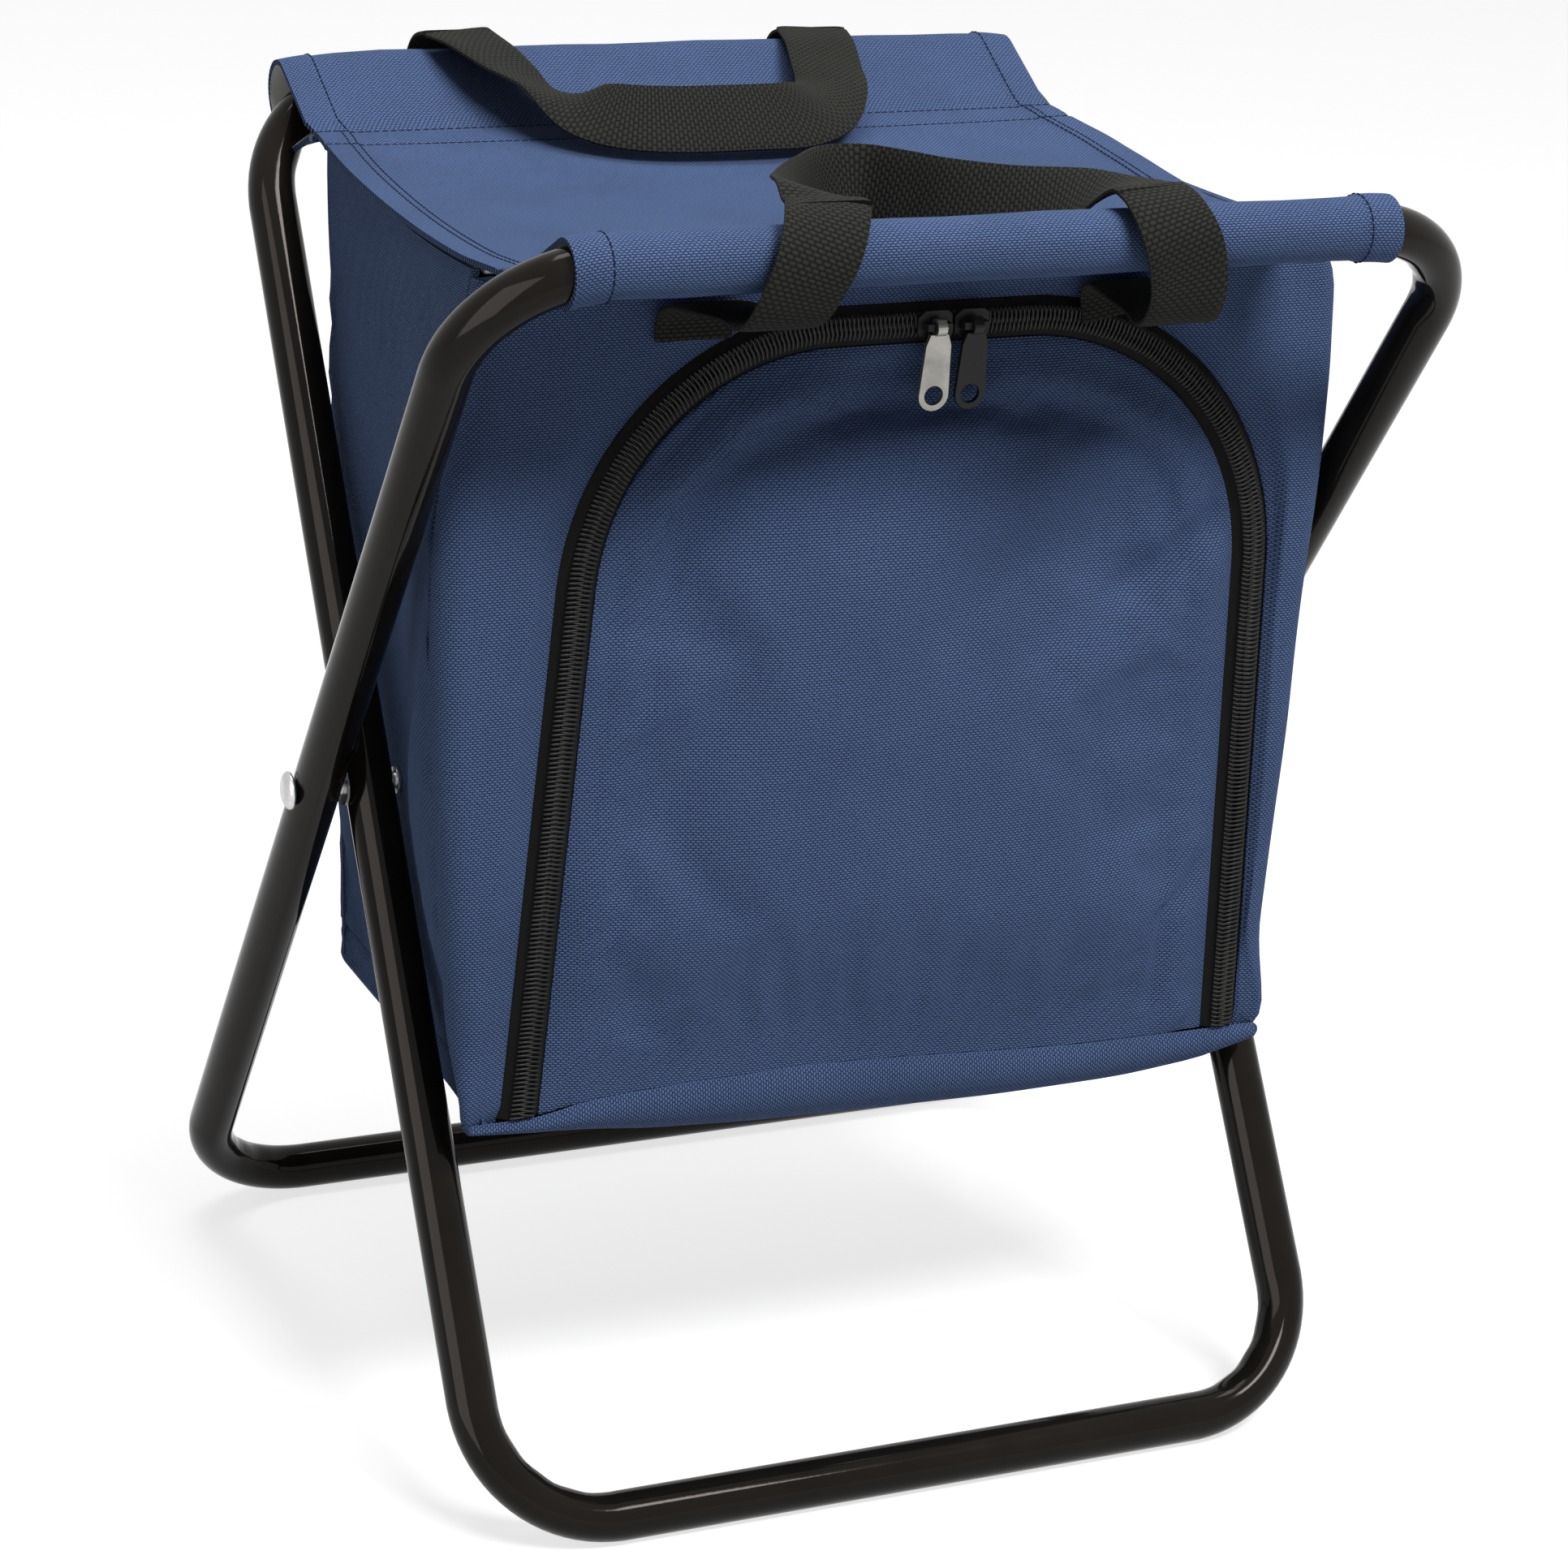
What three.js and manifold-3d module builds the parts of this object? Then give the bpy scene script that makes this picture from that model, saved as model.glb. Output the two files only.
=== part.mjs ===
// Folding cooler stool: two loops of steel tube cross in an X and turn on two rivets, a fabric seat is slung
// between their top rails, and an insulated bag with a zipped front flap hangs from the seat.
// Millimetres, +Z up. X runs along the rails, the front is towards -Y, and the floor is z = 0.

import * as THREE from 'three';
import { mergeVertices } from 'three/addons/utils/BufferGeometryUtils.js';
import Module from 'manifold-3d';

const wasm = await Module();
wasm.setup();

// Fits
const CLEARANCE = 0.3; // between pieces that touch
const RUNNING_FIT = 0.3; // around a rivet's shank, and between a zip's halves

// Tube loops
const TUBE_D = 16;
const LEG_LENGTH = 243; // pivot to a floor rail's centre, and to the front top rail's
const REAR_ARM_CUT = 4; // the rear top rail is nearer to the pivot by this
const INNER_WIDTH = 290; // leg to leg of the inner loop, centre to centre
const BEND_RADIUS = 42; // to the tube's centre line
const OPEN_ANGLE = THREE.MathUtils.degToRad(67.5); // between the two open loops
const TUBE_SIDES = 16;
const BEND_STEPS = 7;

// Rivets and the washers between the legs
const SPACER_T = 0.8;
const SPACER_D = 13;
const SHANK_D = 6;
const HEAD_D = 12.5;
const HEAD_H = 3;
const TAIL_D = 9;
const TAIL_H = 1.8;

// Seat sling
const SEAT_T = 2;
const SEAT_FLARE = 5; // the seat is wider than the bag's waist by this on each side
const SEAT_DROP = 12; // from the front rail's centre to the seat's top at its stitch lines
const SEAT_SAG = 9;
const SLEEVE_DEPTH = 38; // from the front rail's centre to the front stitch line
const SLEEVE_T = 1.4;
const SLEEVE_EASE = 1.8; // looser where it follows a bend
const SLEEVE_OVERHANG = { front: 15, rear: 26 }; // past the rail's straight run, into each bend

// Bag
const SHELL_T = 1.6;
const FOAM_T = 4;
const LINING_T = 0.6;
const SEAM_MARGIN = 9; // foam and lining stop this far inside a seam
const LEG_ROOM = 3.5; // between the bag's waist and an inner leg
const BAG_FLARE = { foot: 10, top: 16.5 }; // the front panel is wider than the waist by this on each side
const BAG_BULGE = 2; // and its middle is wider still
const BAG_HEIGHT = 274; // flap seam to the seat's stitch lines
const FRONT_SETBACK = 60; // from the front rail's centre to the bag's front, at the seat
const BACK_SETBACK = 38.2; // from the rear rail's centre to the bag's back, at the seat
const FRONT_KICK = 13; // the front's foot stands forward of its top by this
const BACK_TUCK = 30; // the back's foot stands forward of its top by this
const BACK_FOOT_DROP = 8; // the back's foot lies below the flap seam by this
const LIP_DEPTH = 18; // the bottom panel rolls up to the flap seam by this much

// Zip around the flap, in the plane of the front panel
const ARCH_MARGIN = { left: 21.5, right: 15.5 }; // to the front panel's edges, at the flap seam
const ARCH_LEAN = THREE.MathUtils.degToRad(5.3); // of the left run
const ARCH_TOP_MARGIN = 20.8; // below the front panel's top
const ARCH_CORNER_R = 85;
const ARCH_STEPS = 9;
const ZIP_SLOT = 13; // between the fabric edges
const COIL_WIDTH = 7.2;
const COIL_T = 1.4;
const TAPE_T = 0.6;
const TAPE_SEAM = 4; // tape sewn under the fabric edge

// Zip sliders and pulls
const SLIDER_X = [8.2, 20.7];
const SLIDER_LENGTH = 11.5;
const SLIDER_WIDTH = 9;
const SLIDER_T = 1.6;
const BRIDGE_SPAN = 6.4;
const BRIDGE_BAR = 1.6;
const BRIDGE_WIDTH = 2.2;
const PULL_LENGTH = 27; // hinge to tip
const PULL_WIDTH = 10;
const PULL_T = 1.6;
const PULL_HOLE_D = 6.4;
const PULL_EYE_WALL = 1.1;
const PULL_EYE_WIDTH = 3.2;

// Webbing handles
const WEBBING_WIDTH = 25;
const WEBBING_T = 2;
const STRAP_X = { front: [-61.5, 51], rear: [-76, 57] }; // of each handle's two straps
const WRAP_RADIUS = 15; // of a strap's middle about its rail
const LOOP_REACH = 75; // from a strap's top to the loop's far side
const LOOP_SKEW = { front: -4, rear: 4 }; // where along X the loop reaches furthest
const LOOP_LEAN = THREE.MathUtils.degToRad(14);

// Sizes that follow
const TUBE_R = TUBE_D / 2;
const TUBE_CORNER_R = TUBE_R / Math.cos(Math.PI / TUBE_SIDES); // flats at TUBE_R
const HALF_ANGLE = OPEN_ANGLE / 2;
const PIVOT_Z = TUBE_R + LEG_LENGTH * Math.cos(HALF_ANGLE);
const LEG_PITCH = 2 * TUBE_CORNER_R + SPACER_T + 2 * CLEARANCE;
const OUTER_WIDTH = INNER_WIDTH + 2 * LEG_PITCH;

// The two loops: the outer one carries the front top rail, the inner one the rear top rail.
const OUTER_LOOP = { width: OUTER_WIDTH, arm: LEG_LENGTH, tilt: HALF_ANGLE };
const INNER_LOOP = { width: INNER_WIDTH, arm: LEG_LENGTH - REAR_ARM_CUT, tilt: -HALF_ANGLE };
const FRONT_RAIL = railCentre(OUTER_LOOP);
const REAR_RAIL = railCentre(INNER_LOOP);

const STITCH_Y = -FRONT_RAIL.x - SLEEVE_DEPTH;
const SEAT_STITCH_Z = FRONT_RAIL.y - SEAT_DROP;
const BAG_WAIST = INNER_WIDTH - 2 * (TUBE_R + LEG_ROOM);
const FRONT_FOOT_WIDTH = BAG_WAIST + 2 * BAG_FLARE.foot;
const SEAT_WIDTH = BAG_WAIST + 2 * SEAT_FLARE;
const FRONT_TOP_Y = FRONT_RAIL.x + FRONT_SETBACK;
const FRONT_FOOT_Y = FRONT_TOP_Y - FRONT_KICK;
const BACK_TOP_Y = REAR_RAIL.x - BACK_SETBACK;
const BACK_FOOT_Y = BACK_TOP_Y - BACK_TUCK;
const FLAP_SEAM_Z = SEAT_STITCH_Z - BAG_HEIGHT;
const BACK_FOOT_Z = FLAP_SEAM_Z - BACK_FOOT_DROP;
const FRONT_STACK = SHELL_T + TAPE_T + 2 * CLEARANCE;
const WALL_T = SHELL_T + FOAM_T + LINING_T + 2 * CLEARANCE;
const FRONT_LEAN = Math.atan2(FRONT_TOP_Y - FRONT_FOOT_Y, seatZ(FRONT_TOP_Y) - FLAP_SEAM_Z);
const BACK_LEAN = Math.atan2(BACK_TOP_Y - BACK_FOOT_Y, seatZ(BACK_TOP_Y) - BACK_FOOT_Z);
const FRONT_HEIGHT = (seatUnderside(FRONT_TOP_Y + FRONT_STACK) - FLAP_SEAM_Z) / Math.cos(FRONT_LEAN);
const ARCH_LEFT_X = ARCH_MARGIN.left - FRONT_FOOT_WIDTH / 2;
const ARCH_RIGHT_X = FRONT_FOOT_WIDTH / 2 - ARCH_MARGIN.right;
const ARCH_HEIGHT = FRONT_HEIGHT - ARCH_TOP_MARGIN;

// Finishes
const finish = (color, roughness, metalness = 0) =>
  new THREE.MeshStandardMaterial({ color, roughness, metalness });
const paintedSteel = finish(0x0c0c0e, 0.25, 0.2);
const zincSteel = finish(0xb9bcc0, 0.35, 0.9);
const navyFabric = finish(0x22305c, 0.85);
const whiteFoam = finish(0xf1f1ee, 0.9);
const silverLining = finish(0xc9cdd1, 0.45, 0.3);
const blackTape = finish(0x121214, 0.8);
const blackCoil = finish(0x1a1a1c, 0.45);
const gunmetal = finish(0x4c4d50, 0.4, 0.85);
const blackWebbing = finish(0x17171a, 0.8);

const stool = new THREE.Group();

function addPart(name, geometry, material, parent = stool) {
  const mesh = new THREE.Mesh(geometry, material);
  mesh.name = name;
  parent.add(mesh);
  return mesh;
}

// Mesh helpers

// A closed mesh from points and triangles, turned so that its faces point out.
function closedMesh(points, triangles) {
  let volume = 0;
  const normal = new THREE.Vector3();
  for (const [a, b, c] of triangles) {
    volume += points[a].dot(normal.crossVectors(points[b], points[c]));
  }
  const outward = volume > 0 ? triangles : triangles.map(([a, b, c]) => [a, c, b]);
  const geometry = new THREE.BufferGeometry().setFromPoints(points);
  geometry.setIndex(outward.flat());
  geometry.computeVertexNormals();
  return geometry;
}

// The side faces between neighbouring rings, whose points start at the given index.
function ringSides(ringCount, pointCount, closed, start = 0) {
  const triangles = [];
  const spans = closed ? ringCount : ringCount - 1;
  for (let i = 0; i < spans; i++) {
    const a = start + i * pointCount;
    const b = start + ((i + 1) % ringCount) * pointCount;
    for (let k = 0; k < pointCount; k++) {
      const n = (k + 1) % pointCount;
      triangles.push([a + k, b + k, b + n], [a + k, b + n, a + n]);
    }
  }
  return triangles;
}

// A solid through rings of points; a closed loft joins its last ring to its first.
function loft(rings, closed = false) {
  const count = rings[0].length;
  const triangles = ringSides(rings.length, count, closed);
  const last = (rings.length - 1) * count;
  for (let k = 1; k < count - 1 && !closed; k++) {
    triangles.push([0, k, k + 1], [last, last + k + 1, last + k]);
  }
  return closedMesh(rings.flat(), triangles);
}

// A loft with a bore through it, open at both ends.
function tunnel(outerRings, innerRings) {
  const count = outerRings[0].length;
  const bore = outerRings.length * count;
  const last = bore - count;
  const inside = ringSides(innerRings.length, count, false, bore).map(([a, b, c]) => [a, c, b]);
  const triangles = [...ringSides(outerRings.length, count, false), ...inside];
  for (let k = 0; k < count; k++) {
    const n = (k + 1) % count;
    triangles.push([k, n, bore + n], [k, bore + n, bore + k]);
    const [p, q] = [last + k, last + n];
    triangles.push([q, p, bore + p], [q, bore + p, bore + q]);
  }
  return closedMesh([...outerRings.flat(), ...innerRings.flat()], triangles);
}

// A sheet of even thickness: pointAt(u, v, depth) gives its points, from one depth to another.
function slab(pointAt, near, far, uSteps, vSteps) {
  const row = uSteps + 1;
  const layerSize = row * (vSteps + 1);
  const points = [];
  for (const depth of [near, far]) {
    for (let i = 0; i < layerSize; i++) {
      points.push(pointAt((i % row) / uSteps, Math.floor(i / row) / vSteps, depth));
    }
  }
  const triangles = [];
  for (let v = 0; v < vSteps; v++) {
    for (let u = 0; u < uSteps; u++) {
      const [a, b] = [v * row + u, v * row + u + 1];
      const [c, d] = [b + row, a + row];
      triangles.push([a, b, c], [a, c, d]);
      triangles.push([a, c, b].map((i) => i + layerSize), [a, d, c].map((i) => i + layerSize));
    }
  }
  const rim = [];
  for (let u = 0; u < uSteps; u++) rim.push(u);
  for (let v = 0; v < vSteps; v++) rim.push(v * row + uSteps);
  for (let u = uSteps; u > 0; u--) rim.push(vSteps * row + u);
  for (let v = vSteps; v > 0; v--) rim.push(v * row);
  rim.forEach((a, i) => {
    const b = rim[(i + 1) % rim.length];
    triangles.push([b, a, a + layerSize], [b, a + layerSize, b + layerSize]);
  });
  return closedMesh(points, triangles);
}

// A flat band through stations, each with its middle, its width direction and its tangent.
function ribbon(stations) {
  const rings = stations.map(({ middle, across, along }) => {
    const face = new THREE.Vector3().crossVectors(along, across).normalize();
    const corners = [[-1, -1], [1, -1], [1, 1], [-1, 1]];
    return corners.map(([w, t]) => middle.clone()
      .addScaledVector(across, w * WEBBING_WIDTH / 2)
      .addScaledVector(face, t * WEBBING_T / 2));
  });
  return loft(rings);
}

// An outline extruded towards +Y from one depth to another; the outline's Y becomes Z.
function plate(shape, near, far) {
  const geometry = new THREE.ExtrudeGeometry(shape, { depth: far - near, bevelEnabled: false, curveSegments: 12 });
  geometry.rotateX(Math.PI / 2);
  geometry.translate(0, far, 0);
  return geometry;
}

function solidOf(geometry) {
  const bare = geometry.clone();
  bare.deleteAttribute('normal');
  if (bare.attributes.uv) bare.deleteAttribute('uv');
  const merged = mergeVertices(bare, 1e-4);
  const vertProperties = new Float32Array(merged.attributes.position.array);
  const triVerts = new Uint32Array(merged.index.array);
  return new wasm.Manifold(new wasm.Mesh({ numProp: 3, vertProperties, triVerts }));
}

function geometryOf(solid) {
  const mesh = solid.getMesh();
  const geometry = new THREE.BufferGeometry();
  geometry.setAttribute('position', new THREE.BufferAttribute(new Float32Array(mesh.vertProperties), 3));
  geometry.setIndex(new THREE.BufferAttribute(new Uint32Array(mesh.triVerts), 1));
  geometry.computeVertexNormals();
  return geometry;
}

// Tube loops

// Centre of a loop's top rail in the Y-Z plane at a given x, which falls away in the bends.
function railCentre({ width, arm, tilt }, x = 0) {
  const past = Math.max(0, Math.abs(x) - (width / 2 - BEND_RADIUS));
  const rise = arm - BEND_RADIUS + Math.sqrt(BEND_RADIUS ** 2 - past ** 2);
  return new THREE.Vector2(-rise * Math.sin(tilt), PIVOT_Z + rise * Math.cos(tilt));
}

// One tube bent into a closed round-cornered loop, turned so that a flat of its floor rail lies on the floor.
function tubeLoop({ width, arm, tilt }) {
  const phase = Math.PI / TUBE_SIDES - tilt;
  const cx = width / 2 - BEND_RADIUS;
  const [top, foot] = [arm - BEND_RADIUS, BEND_RADIUS - LEG_LENGTH];
  const rings = [];
  [[cx, top], [-cx, top], [-cx, foot], [cx, foot]].forEach(([x, z], corner) => {
    for (let i = 0; i <= BEND_STEPS; i++) {
      const turn = (corner + i / BEND_STEPS) * Math.PI / 2;
      const outward = new THREE.Vector3(Math.cos(turn), 0, Math.sin(turn));
      const ring = [];
      for (let k = 0; k < TUBE_SIDES; k++) {
        const angle = phase + 2 * Math.PI * k / TUBE_SIDES;
        const point = new THREE.Vector3(x, TUBE_CORNER_R * Math.sin(angle), z);
        ring.push(point.addScaledVector(outward, BEND_RADIUS + TUBE_CORNER_R * Math.cos(angle)));
      }
      rings.push(ring);
    }
  });
  const holeR = SHANK_D / 2 + RUNNING_FIT;
  const drill = new THREE.CylinderGeometry(holeR, holeR, width + 4 * TUBE_D, TUBE_SIDES).rotateZ(Math.PI / 2);
  return geometryOf(solidOf(loft(rings, true)).subtract(solidOf(drill)));
}

function addLoop(name, loop) {
  const frame = new THREE.Group();
  frame.position.z = PIVOT_Z;
  frame.rotation.x = loop.tilt;
  addPart(name, tubeLoop(loop), paintedSteel, frame);
  stool.add(frame);
}

// A domed rivet through both legs; its profile runs outwards from the inner leg's centre.
function rivet() {
  const legFace = TUBE_CORNER_R + CLEARANCE;
  const headBase = LEG_PITCH + legFace;
  const profile = [
    [0, -legFace - TAIL_H],
    [TAIL_D * 0.32, -legFace - TAIL_H],
    [TAIL_D / 2, -legFace - TAIL_H * 0.4],
    [TAIL_D / 2, -legFace],
    [SHANK_D / 2, -legFace],
    [SHANK_D / 2, headBase],
    [HEAD_D / 2, headBase],
  ];
  const domeSteps = 4;
  for (let i = 1; i <= domeSteps; i++) {
    const rise = (i / domeSteps) * Math.PI / 2;
    profile.push([HEAD_D / 2 * Math.cos(rise), headBase + HEAD_H * Math.sin(rise)]);
  }
  profile[profile.length - 1][0] = 0;
  const points = profile.map(([r, a]) => new THREE.Vector2(r, a));
  return new THREE.LatheGeometry(points, 20);
}

function spacer() {
  const [inside, outside] = [SHANK_D / 2 + RUNNING_FIT, SPACER_D / 2];
  const base = TUBE_CORNER_R + CLEARANCE;
  const section = [[inside, base], [outside, base], [outside, base + SPACER_T], [inside, base + SPACER_T]];
  const points = [...section, section[0]].map(([r, a]) => new THREE.Vector2(r, a));
  return new THREE.LatheGeometry(points, 20);
}

function addPivots() {
  for (const [name, side] of [['left', -1], ['right', 1]]) {
    const pivot = new THREE.Group();
    pivot.position.set(side * INNER_WIDTH / 2, 0, PIVOT_Z);
    pivot.rotation.z = -side * Math.PI / 2;
    addPart(`${name}_rivet`, rivet(), zincSteel, pivot);
    addPart(`${name}_spacer_washer`, spacer(), zincSteel, pivot);
    stool.add(pivot);
  }
}

// Seat sling

// Top of the seat, which sags between its stitch lines.
function seatZ(y) {
  const share = Math.min(1, Math.abs(y) / STITCH_Y);
  return SEAT_STITCH_Z - SEAT_SAG * (1 - share ** 2);
}

function seatUnderside(y) {
  return seatZ(y) - SEAT_T - CLEARANCE;
}

function addSeat() {
  const reach = STITCH_Y - CLEARANCE;
  const point = (u, v, depth) => {
    const y = (2 * v - 1) * reach;
    return new THREE.Vector3((u - 0.5) * SEAT_WIDTH, y, seatZ(y) - depth);
  };
  addPart('seat_panel', slab(point, 0, SEAT_T, 2, 10), navyFabric);
}

// A drop-shaped ring of fabric: round the tube at one end, drawn to the stitch line at the other.
function sleeveRing(x, centre, stitch, radius, tailGap) {
  const steps = 14;
  const toStitch = stitch.clone().sub(centre);
  const heading = Math.atan2(toStitch.y, toStitch.x);
  const tangent = Math.acos(Math.min(1, radius / toStitch.length()));
  const ring = [];
  for (let i = 0; i <= steps; i++) {
    const angle = heading + tangent + (i / steps) * 2 * (Math.PI - tangent);
    ring.push(new THREE.Vector3(x, centre.x + radius * Math.cos(angle), centre.y + radius * Math.sin(angle)));
  }
  const rise = Math.sign(toStitch.x) * tailGap / 2;
  ring.push(new THREE.Vector3(x, stitch.x, stitch.y - rise), new THREE.Vector3(x, stitch.x, stitch.y + rise));
  return ring;
}

// A sleeve along a top rail, which follows the tube into its bends.
function sleeve(loop, overhang) {
  const straight = loop.width / 2 - BEND_RADIUS;
  const bendStations = [0, 0.3, 0.55, 0.8, 1].map((t) => straight + t * overhang);
  const stations = [...bendStations.map((x) => -x).reverse(), ...bendStations];
  const front = loop.tilt > 0 ? -1 : 1;
  const stitch = new THREE.Vector2(front * STITCH_Y, SEAT_STITCH_Z - SEAT_T / 2);
  const innerStitch = new THREE.Vector2(front * (STITCH_Y + 3 * SLEEVE_T), stitch.y);
  const rings = { outer: [], inner: [] };
  for (const x of stations) {
    const centre = railCentre(loop, x);
    const slope = Math.asin(Math.max(0, Math.abs(x) - straight) / BEND_RADIUS);
    const fit = TUBE_CORNER_R / Math.cos(slope) + CLEARANCE + (slope > 0 ? SLEEVE_EASE : 0);
    rings.inner.push(sleeveRing(x, centre, innerStitch, fit, SLEEVE_T / 4));
    rings.outer.push(sleeveRing(x, centre, stitch, fit + SLEEVE_T, 2 * SLEEVE_T));
  }
  return tunnel(rings.outer, rings.inner);
}

// Bag

// Half width of the front panel at a height above the flap seam.
function frontHalfWidth(height) {
  const share = height / FRONT_HEIGHT;
  const flare = THREE.MathUtils.lerp(BAG_FLARE.foot, BAG_FLARE.top, share);
  return BAG_WAIST / 2 + flare + BAG_BULGE * (1 - (2 * share - 1) ** 2);
}

const frontY = (z) => FRONT_FOOT_Y + (z - FLAP_SEAM_Z) * Math.tan(FRONT_LEAN);
const backY = (z) => BACK_FOOT_Y + (z - BACK_FOOT_Z) * Math.tan(BACK_LEAN);

// Half width of the bag's side, which is drawn in where it passes the inner leg and its rivet.
function sideHalfWidth(y, z) {
  const legY = (z - PIVOT_Z) * Math.tan(HALF_ANGLE) - 1.8 * TUBE_R;
  const waistY = Math.min(backY(z), legY);
  const share = THREE.MathUtils.clamp((y - frontY(z)) / (waistY - frontY(z)), 0, 1);
  const front = frontHalfWidth(THREE.MathUtils.clamp(z - FLAP_SEAM_Z, 0, FRONT_HEIGHT));
  return THREE.MathUtils.lerp(front, BAG_WAIST / 2, share);
}

// Underside of the bag behind its rolled front lip.
function bottomZ(y) {
  const lipY = FRONT_FOOT_Y + LIP_DEPTH;
  const share = (y - lipY) / (BACK_FOOT_Y - lipY);
  return THREE.MathUtils.lerp(FLAP_SEAM_Z - LIP_DEPTH, BACK_FOOT_Z, share);
}

// Lower edge of a side wall, just above the bottom panel and its lip.
function sideFootZ(y) {
  const intoLip = Math.max(0, FRONT_FOOT_Y + LIP_DEPTH + SHELL_T - y);
  return bottomZ(y) + SHELL_T + CLEARANCE + intoLip;
}

// A grid line between two edges: the first and last lie on the edges, their neighbours a seam's margin inside.
function seamGrid(index, count, from, to) {
  if (index === 0) return from;
  if (index === count) return to;
  return THREE.MathUtils.lerp(from + SEAM_MARGIN, to - SEAM_MARGIN, (index - 1) / (count - 2));
}

// A side wall's layer between two depths; an inset layer stops one grid line inside the seams.
function sideLayer(side, near, far, inset) {
  const [columns, rows] = [10, 8];
  const point = (u, v, depth) => {
    const column = Math.round(inset + u * (columns - 2 * inset));
    const row = Math.round(inset + v * (rows - 2 * inset));
    const front = THREE.MathUtils.lerp(FRONT_FOOT_Y, FRONT_TOP_Y, row / rows);
    const back = THREE.MathUtils.lerp(BACK_FOOT_Y, BACK_TOP_Y, row / rows);
    const nearY = THREE.MathUtils.lerp(front, back, column / columns);
    const nearZ = seamGrid(row, rows, sideFootZ(nearY), seatUnderside(nearY));
    const y = seamGrid(column, columns, frontY(nearZ) + FRONT_STACK, backY(nearZ) - SHELL_T - CLEARANCE);
    const z = seamGrid(row, rows, sideFootZ(y), seatUnderside(y));
    return new THREE.Vector3(side * (sideHalfWidth(y, z) - depth), y, z);
  };
  return slab(point, near, far, columns - 2 * inset, rows - 2 * inset);
}

// Depths of a wall's shell, foam and lining, from its outer face.
const FOAM_FROM = SHELL_T + CLEARANCE;
const LINING_FROM = FOAM_FROM + FOAM_T + CLEARANCE;

function addSides() {
  for (const [name, side] of [['left', -1], ['right', 1]]) {
    addPart(`${name}_side_panel`, sideLayer(side, 0, SHELL_T, 0), navyFabric);
    addPart(`${name}_side_foam`, sideLayer(side, FOAM_FROM, FOAM_FROM + FOAM_T, 1), whiteFoam);
    addPart(`${name}_side_lining`, sideLayer(side, LINING_FROM, WALL_T, 1), silverLining);
  }
}

// The bottom panel's shell rolls up at the front to meet the flap seam.
function bottomShell() {
  const lipSteps = 4;
  const flatSteps = 6;
  const steps = lipSteps + flatSteps;
  const lipY = FRONT_FOOT_Y + LIP_DEPTH;
  const lipZ = bottomZ(lipY) + LIP_DEPTH - CLEARANCE;
  const point = (u, v, depth) => {
    const step = v * steps;
    const onLip = step < lipSteps;
    const turn = (1 - step / lipSteps) * Math.PI / 2;
    const flat = (step - lipSteps) / flatSteps;
    const flatY = THREE.MathUtils.lerp(lipY, BACK_FOOT_Y, flat);
    const y = onLip ? lipY - (LIP_DEPTH - depth) * Math.sin(turn) : flatY;
    const z = onLip ? lipZ - (LIP_DEPTH - CLEARANCE - depth) * Math.cos(turn) : bottomZ(flatY) + depth;
    return new THREE.Vector3((2 * u - 1) * sideHalfWidth(y, bottomZ(lipY) + LIP_DEPTH), y, z);
  };
  return slab(point, 0, SHELL_T, 2, steps);
}

// Foam or lining above the bottom shell.
function bottomLayer(near, far) {
  const half = BAG_WAIST / 2 - WALL_T - CLEARANCE;
  const from = FRONT_FOOT_Y + WALL_T + LIP_DEPTH;
  const to = BACK_FOOT_Y - WALL_T - CLEARANCE;
  const point = (u, v, depth) => {
    const y = THREE.MathUtils.lerp(from, to, v);
    return new THREE.Vector3((2 * u - 1) * half, y, bottomZ(y) + depth);
  };
  return slab(point, near, far, 1, 2);
}

// Foam or lining under the seat, which is the lid of the bag.
function topLayer(near, far) {
  const half = BAG_WAIST / 2 - WALL_T - SEAM_MARGIN;
  const from = FRONT_TOP_Y + WALL_T + SEAM_MARGIN;
  const to = BACK_TOP_Y - WALL_T - SEAM_MARGIN;
  const point = (u, v, depth) => {
    const y = THREE.MathUtils.lerp(from, to, v);
    return new THREE.Vector3((2 * u - 1) * half, y, seatZ(y) - SEAT_T - CLEARANCE - depth);
  };
  return slab(point, near, far, 1, 6);
}

function addBottomAndTop() {
  addPart('bottom_panel', bottomShell(), navyFabric);
  addPart('bottom_foam', bottomLayer(FOAM_FROM, FOAM_FROM + FOAM_T), whiteFoam);
  addPart('bottom_lining', bottomLayer(LINING_FROM, WALL_T), silverLining);
  addPart('top_foam', topLayer(0, FOAM_T), whiteFoam);
  addPart('top_lining', topLayer(FOAM_T + CLEARANCE, FOAM_T + CLEARANCE + LINING_T), silverLining);
}

function addBack() {
  const back = new THREE.Group();
  back.position.set(0, BACK_FOOT_Y, BACK_FOOT_Z);
  back.rotation.x = -BACK_LEAN;
  const height = (seatUnderside(BACK_TOP_Y - WALL_T) - BACK_FOOT_Z) / Math.cos(BACK_LEAN) - CLEARANCE;
  const outline = (margin) => {
    const half = BAG_WAIST / 2 - margin;
    const foot = SHELL_T + CLEARANCE + 2 * SHELL_T * Math.sin(BACK_LEAN) + margin;
    const corners = [[-half, foot], [half, foot], [half, height - margin], [-half, height - margin]];
    return new THREE.Shape(corners.map(([x, z]) => new THREE.Vector2(x, z)));
  };
  const inset = outline(WALL_T + CLEARANCE);
  addPart('back_panel', plate(outline(0), -SHELL_T, 0), navyFabric, back);
  addPart('back_foam', plate(inset, -FOAM_FROM - FOAM_T, -FOAM_FROM), whiteFoam, back);
  addPart('back_lining', plate(inset, -WALL_T, -LINING_FROM), silverLining, back);
  stool.add(back);
}

// Front panel, flap and zip, in the plane of the front panel: x across, z up from the flap seam

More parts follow.
